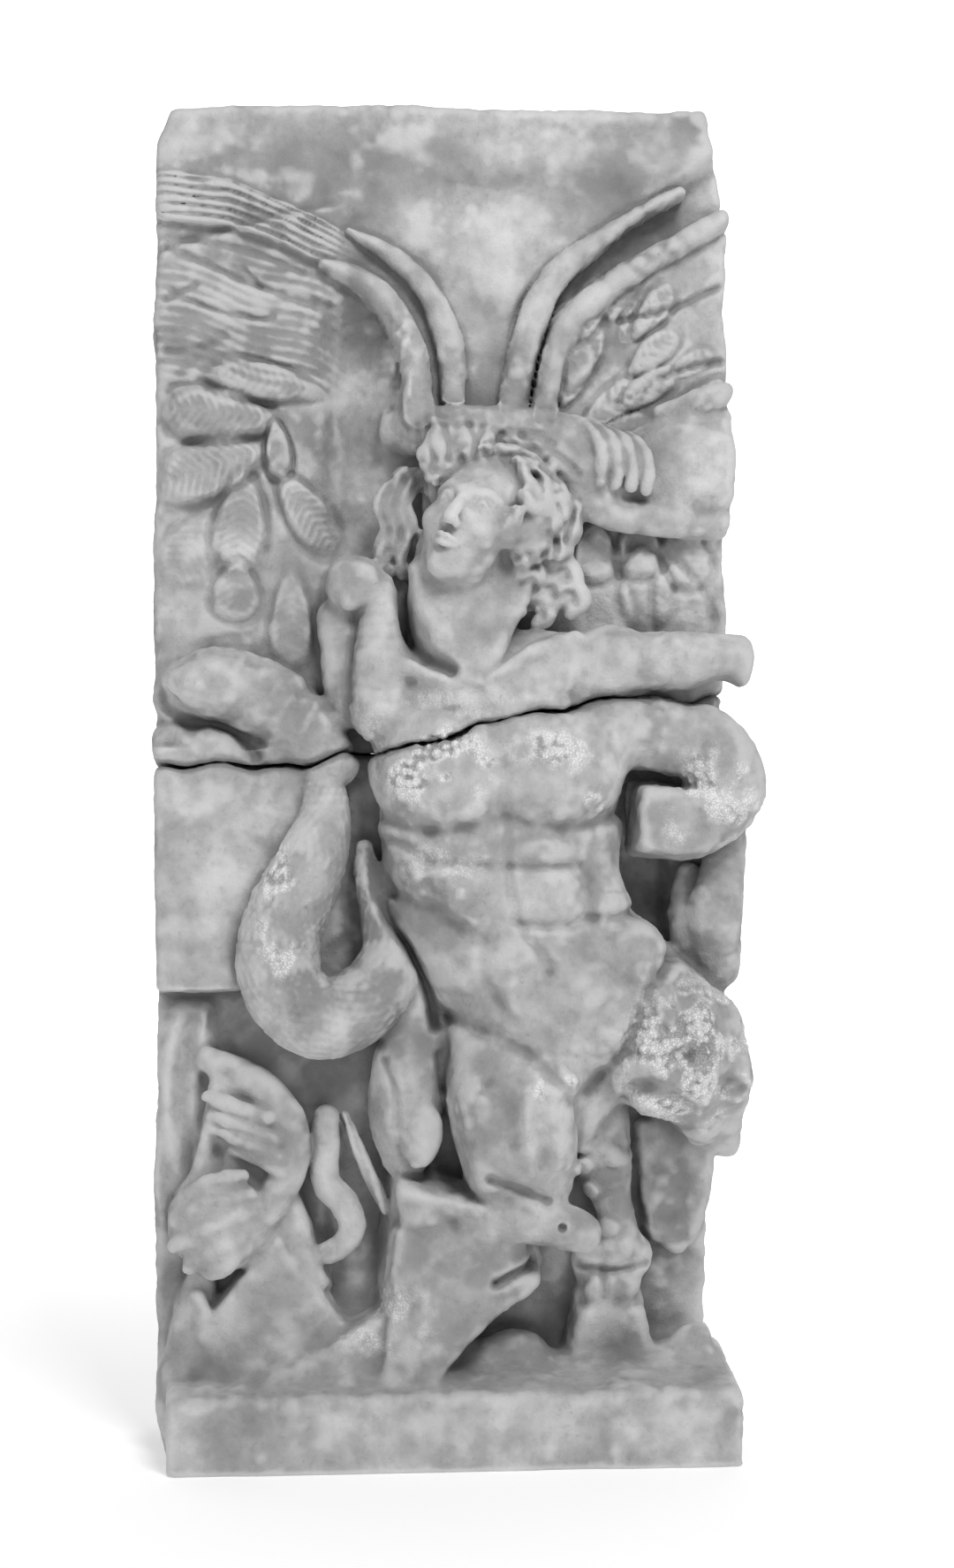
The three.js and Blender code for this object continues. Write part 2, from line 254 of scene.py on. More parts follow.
    def groove(self, points, width, depth, behind=0.05):
        # a soft line pressed into the front, or below nought raised from it
        line = smoothLine(np.array(points, float), 6) + np.array(datum)
        pad = width * 2.4 + self.step
        low, high = line.min(0) - pad, line.max(0) + pad
        found = self.window((low[0], -0.5, low[1]), (high[0], 0.03 - behind, high[1]))
        if found is None:
            return
        spans, (x, y, z) = found
        nearest = awayFrom(line, x[:, 0, :], z[:, 0, :])
        front = soft(-y, behind - 0.03, behind)
        mark = depth * np.exp(-(nearest / width) ** 2)
        self.dist[spans] += (mark[:, None, :] * front).astype(np.float32)


def awayFrom(line, x, z):
    nearest = np.full(np.broadcast(x, z).shape, 9.0)
    for a, b in zip(line[:-1], line[1:]):
        way = b - a
        share = np.clip(((x - a[0]) * way[0] + (z - a[1]) * way[1]) / (way @ way), 0, 1)
        nearest = np.minimum(nearest, np.hypot(x - a[0] - share * way[0], z - a[1] - share * way[1]))
    return nearest


def smoothLine(points, steps):
    # a Catmull-Rom line through the points, each with its radius
    padded = np.vstack([2 * points[0] - points[1], points, 2 * points[-1] - points[-2]])
    line = []
    for i in range(1, len(padded) - 2):
        a, b, c, d = padded[i - 1 : i + 3]
        for t in np.arange(steps) / steps:
            line.append(
                0.5 * (2 * b + (c - a) * t + (2 * a - 5 * b + 4 * c - d) * t ** 2
                       + (3 * b - a - 3 * c + d) * t ** 3)
            )
    line.append(points[-1])
    return np.array(line)


stoneGrit = Grit(11)
edgeGrit = Grit(23)


# the block and its ground, as heights in front of the field
def leftEdge(z):
    wear = 0.004 * edgeGrit.layered(z * 0, z * 0, z, 0.16, 4)
    return slab["left"] - 0.006 * hill(z, 1.40, 0.21) + 0.026 * hill(z, slab["top"] + 0.01, 0.05) \
        + 0.020 * hill(z, 0.0, 0.05) + wear


def rightEdge(z):
    wear = 0.005 * edgeGrit.layered(z * 0 + 5, z * 0, z, 0.14, 4)
    lower = slab["rightLower"] + 0.046 * hill(z, 1.02, 0.30)
    upper = slab["rightUpper"] - 0.030 * hill(z, slab["top"], 0.09)
    return np.where(z > 1.28, upper, lower) + wear


def topEdge(x):
    wear = 0.003 * edgeGrit.layered(x, x * 0 + 9, x * 0, 0.12, 4)
    return slab["top"] + 0.006 + 0.005 * np.sin((x + 0.26) / 0.17) + 0.010 * soft(x, 0.20, 0.44) + wear


def breakHeight(x, y, upper=False):
    rise = soft(x, -0.330, 0.340)
    rough = 0.004 * stoneGrit.layered(x, y, x * 0, 0.05, 3)
    line = 1.172 + 0.117 * rise + 0.004 * np.sin(x / 0.037) + 0.003 * np.sin(x / 0.017) + rough
    # a wedge is missing from under the arm
    wedge = np.minimum(soft(x, 0.350, 0.425), soft(0.505 - x, 0, 0.06)) * soft(-y, 0.02, 0.05)
    return line + 0.026 * wedge * upper


def paint(ground, mask, height):
    return ground * (1 - mask) + height * mask


def ridge(ground, x, z, points, radii, base, lift):
    # a rounded band that follows a smooth line across the ground
    line = smoothLine(np.column_stack([np.array(points), np.array(radii)]), 8)
    nearest = np.full(np.broadcast(x, z).shape, 9.0)
    for a, b in zip(line[:-1], line[1:]):
        way = b[:2] - a[:2]
        px, pz = x - datum[0] - a[0], z - datum[1] - a[1]
        share = np.clip((px * way[0] + pz * way[1]) / (way @ way), 0, 1)
        reach = np.hypot(px - share * way[0], pz - share * way[1])
        nearest = np.minimum(nearest, reach / (a[2] + share * (b[2] - a[2])))
    band = np.sqrt(np.maximum(1 - nearest ** 2, 0))
    return np.maximum(ground, np.where(nearest < 1, base + lift * band, -9))


def leaf(ground, x, z, across, up, half, tall, rise, tilt=0, barbs=0.0):
    # a low rounded feather end: raised inside its outline, sunk along it
    c, s = math.cos(math.radians(tilt)), math.sin(math.radians(tilt))
    x, z = x - datum[0] - across, z - datum[1] - up
    u, v = x * c - z * s, x * s + z * c
    away = np.sqrt((u / half) ** 2 + (v / (tall * (1 - 0.30 * np.clip(u / half, -1, 1)))) ** 2)
    inside = soft(1.0 - away, 0.0, 0.30)
    furrows = 0.0013 * np.cos(2 * math.pi * (u + 0.6 * np.abs(v)) / 0.015) * barbs
    rim = np.exp(-((away - 1.04) / 0.12) ** 2)
    return ground + inside * (0.8 * rise + 0.5 * rise * np.maximum(1 - away ** 2,
        0) + furrows) - 0.34 * rise * rim


def incised(ground, x, z, points, width, depth):
    line = smoothLine(np.array(points, float), 6) + np.array(datum)
    return ground - depth * np.exp(-(awayFrom(line, x, z) / width) ** 2)


# the wings' leading edges, from the shoulder out to the slab's side
leftWingEdges = {
    "outer": [(0.010, 1.830), (0.008, 1.892), (-0.010, 1.958), (-0.050, 2.028), (-0.110, 2.076),
              (-0.170, 2.108)],
    "inner": [(-0.052, 1.790), (-0.054, 1.870), (-0.074, 1.934), (-0.110, 1.990), (-0.156, 2.026),
              (-0.214, 2.048)],
}
rightWingEdges = {
    "outer": [(0.112, 1.800), (0.124, 1.870), (0.146, 1.955), (0.184, 2.034), (0.242, 2.084),
              (0.318, 2.138), (0.402, 2.184)],
    "inner": [(0.160, 1.780), (0.176, 1.856), (0.192, 1.908), (0.226, 1.968), (0.278, 2.014),
              (0.340, 2.056), (0.480, 2.136)],
}


def leftWing(ground, x, z):
    u, v = x - datum[0], z - datum[1]
    body = soft(-0.14 - u, 0, 0.10) * soft(2.19 + 0.28 * np.minimum(u + 0.10, 0) - v, 0, 0.02) \
        * soft(v + 0.5 * np.minimum(u + 0.34, 0), 1.50, 1.84)
    ground = ground + 0.020 * body
    # a fan of narrow quills along the top
    upper = np.interp(u, [-0.52, -0.465, -0.374, -0.282, -0.209, -0.148],
        [2.212, 2.207, 2.195, 2.158, 2.125, 2.092])
    lower = np.interp(u, [-0.52, -0.471, -0.374, -0.282, -0.233, -0.148],
        [2.124, 2.119, 2.107, 2.076, 2.052, 2.030])
    share = (v - lower) / np.maximum(upper - lower, 0.02)
    fan = soft(share, -0.04, 0.08) * soft(1 - share, -0.04, 0.08) * soft(-0.120 - u, 0, 0.12)
    share = share + 0.025 * np.sin(u / 0.045) + 0.015 * np.sin(v / 0.013 + u / 0.02)
    ground = ground + fan * (0.014 - 0.008 * share + 0.0075 * np.abs(np.sin(math.pi * 5.5 * share)) ** 0.8)
    # below them longer feathers, their edges incised and worn
    wider, shallower = 1.2, 0.6
    barbs = 0.0012 * np.cos(2 * math.pi * (0.30 * u + v + 0.006 * np.sin(u / 0.03)) / 0.0180)
    ground = ground + barbs * body * soft(2.06 - v, 0, 0.02) * soft(v, 1.80, 1.86)
    for points, width, depth in (
        ([(-0.500, 2.096), (-0.420, 2.086), (-0.330, 2.066), (-0.250, 2.034)], 0.006, 0.010),
        ([(-0.480, 2.076), (-0.400, 2.042), (-0.325, 2.012), (-0.270, 1.990), (-0.205, 1.978)], 0.007, 0.016),
        ([(-0.350, 2.040), (-0.320, 2.010)], 0.004, 0.008),
        ([(-0.480, 1.986), (-0.430, 2.010)], 0.005, 0.010),
        ([(-0.470, 1.998), (-0.400, 1.970), (-0.330, 1.956), (-0.300, 1.958)], 0.006, 0.014),
        ([(-0.386, 1.925), (-0.435, 1.884), (-0.478, 1.830)], 0.010, 0.012),
        ([(-0.404, 1.912), (-0.440, 1.902), (-0.480, 1.900)], 0.005, 0.008),
        ([(-0.400, 1.876), (-0.330, 1.880), (-0.220, 1.862)], 0.005, 0.006),
        ([(-0.410, 1.832), (-0.352, 1.816), (-0.300, 1.812)], 0.007, 0.014),
    ):
        ground = incised(ground, x, z, points, width * wider, depth * shallower)
    recess = hill(u, -0.158, 0.060) * soft(2.00 - v, 0, 0.08) * soft(v, 1.50, 1.62)
    ground = ground - 0.052 * recess
    for across, up, half, tall, rise, tilt, drawn in (
        (-0.191, 1.441, 0.084, 0.036, 0.007, -92, 0.3), (-0.268, 1.441, 0.094, 0.040, 0.008, -90, 0.3),
        (-0.362, 1.489, 0.054, 0.044, 0.009, -88, 0.4), (-0.440, 1.560, 0.070, 0.050, 0.006, -60, 0.4),
        (-0.240, 1.624, 0.086, 0.040, 0.012, -127, 0.8), (-0.355, 1.605, 0.092, 0.048, 0.014, -84, 0.8),
        (-0.313, 1.846, 0.105, 0.036, 0.012, 10, 0.5), (-0.402, 1.700, 0.106, 0.052, 0.018, -20, 1.0),
        (-0.390, 1.789, 0.104, 0.048, 0.020, 6, 0.8), (-0.291, 1.731, 0.052, 0.024, 0.018, -96, 0.0),
    ):
        ground = leaf(ground, x, z, across, up, half, tall, rise, tilt, drawn)
    ground = ridge(ground, x, z, leftWingEdges["outer"], [0.024, 0.025, 0.024, 0.022, 0.018, 0.008],
        0.000, 0.026)
    ground = ridge(ground, x, z, leftWingEdges["inner"], [0.028, 0.027, 0.026, 0.026, 0.023, 0.012],
        0.006, 0.044)
    wall = hill(u, -0.088, 0.030) * soft(v, 1.76, 1.82) * soft(1.98 - v, 0, 0.05)
    lumps = 0.5 + 0.9 * edgeGrit.layered(x, x * 0, z, 0.045, 3)
    return ground + 0.026 * wall * lumps


def rightWing(ground, x, z):
    u, v = x - datum[0], z - datum[1]
    line = 1.95 + 0.62 * np.minimum(u - 0.20, 0.30)
    body = soft(u, 0.15, 0.20) * soft(line + 0.05 - v, 0, 0.03) * soft(v, 1.40, 1.50)
    lumps = stoneGrit.layered(x, x * 0 + 4, z, 0.06, 3)
    ground = ground + (0.022 + 0.008 * lumps) * body
    channel = soft(u, 0.10, 0.16) * soft(2.06 + 0.72 * np.minimum(u - 0.18, 0.3) - v, 0, 0.05) * soft(v,
        1.80, 1.86)
    ground = ground - 0.036 * channel * (1 - body)
    for across, up, half, tall, rise, tilt in (
        (0.262, 1.466, 0.090, 0.058, 0.008, -92), (0.400, 1.470, 0.084, 0.050, 0.008, -112),
        (0.340, 1.500, 0.078, 0.048, 0.010, -96), (0.408, 1.550, 0.060, 0.044, 0.010, -118),
        (0.252, 1.560, 0.058, 0.042, 0.011, -88), (0.330, 1.568, 0.058, 0.044, 0.011, -94),
        (0.450, 1.790, 0.070, 0.034, 0.012, 160),
    ):
        ground = leaf(ground, x, z, across, up, half, tall, rise, tilt, 0.3)
    pick = np.random.default_rng(31)
    heart = (0.160, 1.720)
    for row, (far, count) in enumerate([(0.330, 4), (0.268, 4), (0.212, 4), (0.158, 3)]):
        for i in range(count):  # worn coverts, the outer rows first
            angle = math.radians(14 + 62 * (i + 0.5 * (row % 2)) / count + 8 * pick.uniform(-1, 1))
            reach = far + 0.022 * pick.uniform(-1, 1)
            across, up = heart[0] + reach * math.cos(angle), heart[1] + reach * math.sin(angle)
            size = 1 + 0.25 * pick.uniform(-1, 1)
            ground = leaf(ground, x, z, across, up, 0.058 * size, 0.026 * size,
                0.008 + 0.004 * pick.uniform(-1, 1),
                          180 - math.degrees(angle), 0.7)
    for points, width, depth in (
        ([(0.372, 1.862), (0.420, 1.880), (0.470, 1.890)], 0.008, 0.014),
        ([(0.380, 1.740), (0.420, 1.770), (0.470, 1.804)], 0.009, 0.018),
        ([(0.300, 1.960), (0.380, 1.978), (0.470, 2.020)], 0.007, 0.012),
    ):
        ground = incised(ground, x, z, points, width, depth)
    ground = ridge(
        ground, x, z, rightWingEdges["outer"], [0.028, 0.028, 0.027, 0.025, 0.020, 0.015, 0.012], 0.000,
        0.026)
    inner = ridge(
        ground, x, z, rightWingEdges["inner"], [0.022, 0.023, 0.025, 0.026, 0.025, 0.022, 0.020], 0.012,
        0.038)
    braid = 0.0014 * np.sin((u + v) / 0.007) * soft(u, 0.26, 0.34) * (inner > ground)
    return inner + braid


def groundHeight(x, z):
    u, v = x - datum[0], z - datum[1]
    ground = 0.005 * stoneGrit.layered(x, x * 0, z, 0.30, 2)
    ground = leftWing(ground, x, z)
    ground = rightWing(ground, x, z)
    ground = ground - 0.020 * soft(1.34 - v, 0, 0.10)
    gap = soft(u, 0.27, 0.31) * soft(0.42 - u, 0, 0.04) * hill(v, 0.97, 0.12)
    nook = soft(u, -0.22, -0.17) * soft(-0.07 - u, 0, 0.03) * hill(v, 0.40, 0.10)
    under = soft(u, -0.02, 0.08) * hill(v, 0.20, 0.10)
    ground = ground - 0.070 * gap - 0.050 * nook - 0.034 * under
    # the raised plain panel, its lower end rounded off
    radius = 0.050
    end = np.clip((0.800 + radius - v) / radius, 0, 1)
    right = -0.176 - 0.150 * soft(1.10 - v, 0, 0.26) - radius * (1 - np.sqrt(1 - end ** 2))
    mask = soft(right - u, 0.0, 0.010) * soft(v, 0.800, 0.812)
    swell = 0.060 - 0.05 * np.maximum(u + 0.38, 0) + 0.005 * stoneGrit.layered(x, x * 0 + 3, z, 0.12, 3)
    ground = paint(ground, mask * soft(1.24 - v, 0, 0.02), swell)
    # weathered upright folds at the left, below the panel
    fold = 0.5 + 0.5 * np.cos((u + 0.462 + 0.02 * np.sin(v / 0.08)) / 0.0075)
    place = soft(-0.388 - u, 0, 0.03) * soft(0.80 - v, 0, 0.03) * soft(v, 0.34, 0.44)
    return ground + place * (0.020 + 0.010 * fold)


def block(clay):
    x, y, z = clay.axes
    flatX, flatZ = x[:, None].astype(float), z[None, :].astype(float)
    ground = groundHeight(flatX + 0 * flatZ, flatZ + 0 * flatX)
    slopeX, slopeZ = np.gradient(ground, clay.step)
    tilt = np.sqrt(1 + np.minimum(slopeX ** 2 + slopeZ ** 2, 9)).astype(np.float32)[:, None, :]
    clay.dist = (-y[None, :, None] - ground.astype(np.float32)[:, None, :]) / tilt


def trim(clay):
    # cuts the slab's sides and top, worn round at the corners
    x, y, z = clay.axes
    flatX, flatZ = x[:, None].astype(float), z[None, :].astype(float)
    left = leftEdge(flatZ) - flatX
    right = flatX - rightEdge(flatZ)
    top = flatZ - topEdge(x.astype(float))[:, None]
    sides = -blended(-left, -right, 0.01)
    sides = -blended(-sides, -top, 0.012)
    sides = sides.astype(np.float32)[:, None, :]
    clay.dist = -blended(-clay.dist, -sides, 0.022)
    back = y[None, :, None] - slab["back"]
    clay.dist = -blended(-clay.dist, -back, 0.005)


def ledge(clay):
    found = clay.window(
        (slab["ledgeLeft"] - 0.05, -slab["ledgeDepth"] - 0.05, -0.05),
        (slab["ledgeRight"] + 0.05, 0.06, slab["ledgeHeight"] + 0.10),
    )
    if found is None:
        return
    spans, (x, y, z) = found
    wavy = 0.003 * edgeGrit.layered(x[:, 0, 0], x[:, 0, 0] * 0 + 2, x[:, 0, 0] * 0, 0.10, 4)
    wavy = wavy[:, None, None].astype(np.float32)
    front = -y - slab["ledgeDepth"] + 0.004 + wavy
    rise = 0.16 * np.maximum(y + slab["ledgeDepth"], 0)
    top = z - slab["ledgeHeight"] + 0.006 - rise + wavy * 1.5
    ends = np.maximum(slab["ledgeLeft"] - x, x - slab["ledgeRight"])
    dist = -blended(-front, -top, 0.022)
    dist = -blended(-dist, -ends - wavy, 0.020)
    dist = -blended(-dist, 0.05 - y, 0.01)
    clay.merge(spans, dist.astype(np.float32), 0.030, False)


# the youth
def trunk(clay):
    clay.limb([spot(0.080, 1.230, 0.060), spot(0.085, 1.120, 0.062), spot(0.086, 1.010, 0.060),
        spot(0.112, 0.930, 0.058)],
              [0.200, 0.212, 0.196, 0.186], 0.03, 0.56)
    clay.limb([spot(0.112, 0.930, 0.058), spot(0.150, 0.860, 0.060), spot(0.180, 0.790, 0.060),
        spot(0.176, 0.730, 0.060)],
              [0.186, 0.184, 0.184, 0.160], 0.03, 0.60)
    clay.limb([spot(0.200, 1.270, 0.070), spot(0.300, 1.262, 0.064)], [0.080, 0.070], 0.03, 0.9)
    # the breast, its lower edge marked
    for across, tilt, rise in ((0.188, -6, 0.040), (-0.022, 7, 0.036)):
        clay.swell(across, 1.184, 0.112, 0.092, rise, tilt, 3.0)
    clay.groove([(0.312, 1.168), (0.276, 1.112), (0.190, 1.090), (0.104, 1.096)], 0.016, 0.018)
    clay.groove([(-0.136, 1.140), (-0.100, 1.100), (-0.020, 1.084), (0.066, 1.096)], 0.014, 0.016)
    clay.groove([(0.034, 1.330), (0.070, 1.220), (0.084, 1.110)], 0.016, 0.014)
    clay.swell(0.243, 1.134, 0.010, 0.010, 0.010)
    clay.swell(-0.100, 1.120, 0.010, 0.010, -0.010)
    # the belly's muscles in two columns, the right the plainer
    for across, up, half, tall, rise, tilt in (
        (0.156, 1.050, 0.056, 0.020, 0.014, 2), (0.160, 0.976, 0.066, 0.040, 0.020, 0),
        (0.030, 1.048, 0.048, 0.018, 0.008, 8),
        (0.020, 0.990, 0.052, 0.034, 0.014, 14), (0.098, 0.876, 0.040, 0.032, 0.012, 20),
        (0.026, 0.850, 0.046, 0.050, 0.014, -24),
        (0.313, 0.880, 0.050, 0.046, 0.022, -30), (0.318, 0.800, 0.050, 0.050, 0.010, -30),
        (0.170, 0.790, 0.112, 0.088, 0.018, 12), (0.131, 0.802, 0.048, 0.055, 0.008, 20),
        (0.224, 0.824, 0.034, 0.046, 0.012, 10),
        (0.176, 0.880, 0.044, 0.020, 0.010, 10), (0.176, 0.672, 0.050, 0.036, 0.026, 20),
        (0.100, 0.880, 0.034, 0.028, 0.008, 0),
    ):
        clay.swell(across, up, half, tall, rise, tilt, 2.2)
    for points, width, depth in (
        ([(0.088, 1.100), (0.092, 1.000), (0.118, 0.910), (0.156, 0.866)], 0.010, 0.012),
        ([(0.094, 1.023), (0.150, 1.020), (0.214, 1.024)], 0.007, 0.010),
        ([(0.096, 0.930), (0.160, 0.922), (0.240, 0.934)], 0.010, 0.016),
        ([(0.228, 1.086), (0.236, 1.000), (0.246, 0.930), (0.268, 0.860), (0.300, 0.790)], 0.022, 0.010),
        ([(-0.036, 1.080), (-0.044, 1.010), (-0.030, 0.960)], 0.014, 0.010),
        ([(0.070, 0.930), (0.046, 0.880), (0.060, 0.820), (0.100, 0.760)], 0.012, 0.010),
        ([(-0.110, 0.990), (-0.060, 0.960), (0.000, 0.920), (0.056, 0.894)], 0.020, 0.018),
        ([(-0.100, 1.066), (-0.050, 1.040), (0.000, 1.026), (0.050, 1.026)], 0.010, 0.007),
        ([(-0.020, 0.776), (0.040, 0.750), (0.092, 0.728), (0.140, 0.694), (0.186, 0.640)], 0.017, 0.016),
        ([(-0.126, 1.060), (-0.124, 0.990), (-0.104, 0.930), (-0.070, 0.880), (-0.040, 0.820),
            (-0.026, 0.750)], 0.010, 0.028),
        ([(0.380, 0.880), (0.330, 0.812), (0.290, 0.720), (0.228, 0.646)], 0.015, 0.022),
        ([(0.370, 0.930), (0.320, 0.940), (0.270, 0.932)], 0.012, 0.012),
    ):
        clay.groove(points, width, depth)
    # the edge of the ribs at the left
    clay.groove([(-0.060, 1.004), (0.000, 1.018), (0.048, 1.036)], 0.010, -0.010)
    clay.groove([(-0.050, 0.975), (-0.010, 0.955), (0.030, 0.930)], 0.011, -0.012)
    clay.swell(0.160, 0.846, 0.012, 0.016, -0.022, 10)  # navel


def neckAndShoulders(clay):
    clay.limb([spot(0.036, 1.540, 0.060), spot(0.020, 1.450, 0.060), spot(0.026, 1.340, 0.060)],
              [0.096, 0.100, 0.108], 0.02, 0.9)
    # shoulders: the left one lifted beside the neck
    clay.limb([spot(-0.112, 1.290, 0.070), spot(-0.112, 1.390, 0.076), spot(-0.114, 1.480, 0.066)],
              [0.064, 0.050, 0.036], 0.016)
    clay.limb([spot(0.110, 1.350, 0.074), spot(0.180, 1.350, 0.084), spot(0.250, 1.352, 0.084)],
              [0.066, 0.068, 0.064], 0.02)
    clay.limb([spot(-0.140, 1.376, 0.108), spot(-0.079, 1.358, 0.132), spot(-0.014, 1.342, 0.150)],
              [0.010, 0.012, 0.010], 0.030)
    clay.limb([spot(0.062, 1.342, 0.158), spot(0.130, 1.380, 0.146), spot(0.205, 1.404, 0.126)],
              [0.012, 0.013, 0.012], 0.022)
    # the cords of the neck and the hollow beside the lifted shoulder
    clay.limb([spot(0.024, 1.350, 0.146), spot(-0.030, 1.430, 0.132), spot(-0.050, 1.520, 0.104)],
              [0.014, 0.024, 0.026], 0.022)
    clay.limb([spot(0.056, 1.350, 0.146), spot(0.092, 1.420, 0.130), spot(0.120, 1.500, 0.090)],
              [0.014, 0.022, 0.024], 0.022)
    clay.groove([(-0.084, 1.500), (-0.076, 1.424), (-0.049, 1.378), (-0.006, 1.350)], 0.013, 0.020)
    clay.groove([(0.116, 1.430), (0.092, 1.380), (0.062, 1.345)], 0.016, 0.010)
    clay.groove([(0.020, 1.420), (0.014, 1.380)], 0.020, 0.008)
    clay.ball(spot(0.038, 1.352, 0.172), (0.018, 0.012, 0.012), upright, 0.018, True)


def arms(clay):
    # the outstretched arm, broken off past the slab's edge
    clay.ball(spot(0.276, 1.376, 0.094), (0.064, 0.054, 0.066), leaning(-4), 0.012)
    clay.limb([spot(0.260, 1.366, 0.086), spot(0.340, 1.368, 0.092), spot(0.420, 1.366, 0.094),
        spot(0.486, 1.364, 0.088)],
              [0.054, 0.050, 0.052, 0.050], 0.012)
    clay.ball(spot(0.398, 1.384, 0.118), (0.060, 0.034, 0.034), leaning(4), 0.014)
    clay.facets(spot(0.560, 1.366, 0.098), (0.09, 0.12, 0.10), [(-1.0, 0.14, 0.20, 0.052)], 0.010, 0.004,
        True)
    clay.limb([spot(0.214, 1.410, 0.146), spot(0.222, 1.360, 0.152), spot(0.206, 1.310, 0.142)],
              [0.008, 0.010, 0.008], 0.016, 1.0, True)
    # the raised arm, broken at the shoulder, and a worn edge of cloak below it
    clay.ball(spot(-0.160, 1.500, 0.056), (0.054, 0.050, 0.050), leaning(20), 0.012)
    clay.ball(spot(-0.148, 1.516, 0.090), (0.034, 0.020, 0.022), leaning(30), 0.010)
    clay.ball(spot(-0.168, 1.476, 0.088), (0.022, 0.024, 0.020), leaning(10), 0.010)
    clay.limb([spot(-0.186, 1.440, 0.024), spot(-0.184, 1.370, 0.034), spot(-0.176, 1.290, 0.040)],
              [0.040, 0.034, 0.036], 0.014)


def forearm(clay):
    # the raised arm's forearm, back over the head, and its hand in the gathered cloak
    clay.limb(
        [spot(-0.078, 1.768, 0.004), spot(-0.030, 1.764, 0.030), spot(0.036, 1.758, 0.042),
         spot(0.112, 1.746, 0.044), spot(0.186, 1.724, 0.044), spot(0.270, 1.702, 0.036)],
        [0.036, 0.044, 0.050, 0.060, 0.072, 0.072], 0.036, 0.90)
    for i in range(4):  # fingers, worn, closed over the cloth
        across, drop = 0.244 + 0.026 * i, 0.006 * i
        clay.limb(
            [spot(across - 0.018, 1.774 - drop, 0.070), spot(across, 1.752 - drop, 0.096),
             spot(across + 0.012, 1.714 - drop, 0.108), spot(across + 0.010, 1.676 - drop, 0.098)],
            [0.009, 0.012, 0.0125, 0.010], 0.008)
    cloth(clay)


def cloth(clay):
    clay.ball(spot(0.430, 1.712, 0.000), (0.150, 0.118, 0.104), leaning(-14), 0.020)
    clay.limb([spot(0.140, 1.690, 0.070), spot(0.230, 1.634, 0.070), spot(0.340, 1.612, 0.066),
        spot(0.500, 1.608, 0.050)],
              [0.010, 0.024, 0.028, 0.030], 0.020)
    folds = [((0.360, 1.800), (0.500, 1.836)), ((0.380, 1.650), (0.500, 1.660))]
    for near, far in folds:
        middle = ((near[0] + far[0]) / 2, (near[1] + far[1]) / 2)
        clay.limb([spot(*near, 0.060), spot(*middle, 0.080), spot(*far, 0.070)], [0.008, 0.018, 0.018], 0.024)


headFrame = {"centre": (0.050, 1.596, 0.100), "yaw": 30, "pitch": 10, "roll": 22, "scale": 1.12}


def headAxes():
    yaw, pitch, roll = (math.radians(headFrame[k]) for k in ("yaw", "pitch", "roll"))
    across = np.array([math.cos(yaw), -math.sin(yaw), 0])
    out = np.array([-math.sin(yaw), -math.cos(yaw), 0])
    up = np.array([0, 0, 1.0])
    up, out = up * math.cos(pitch) - out * math.sin(pitch), out * math.cos(pitch) + up * math.sin(pitch)
    c, s = math.cos(roll), math.sin(roll)
    spin = np.array([[c, 0, s], [0, 1, 0], [-s, 0, c]])
    return np.array([spin @ across, spin @ up, spin @ out])


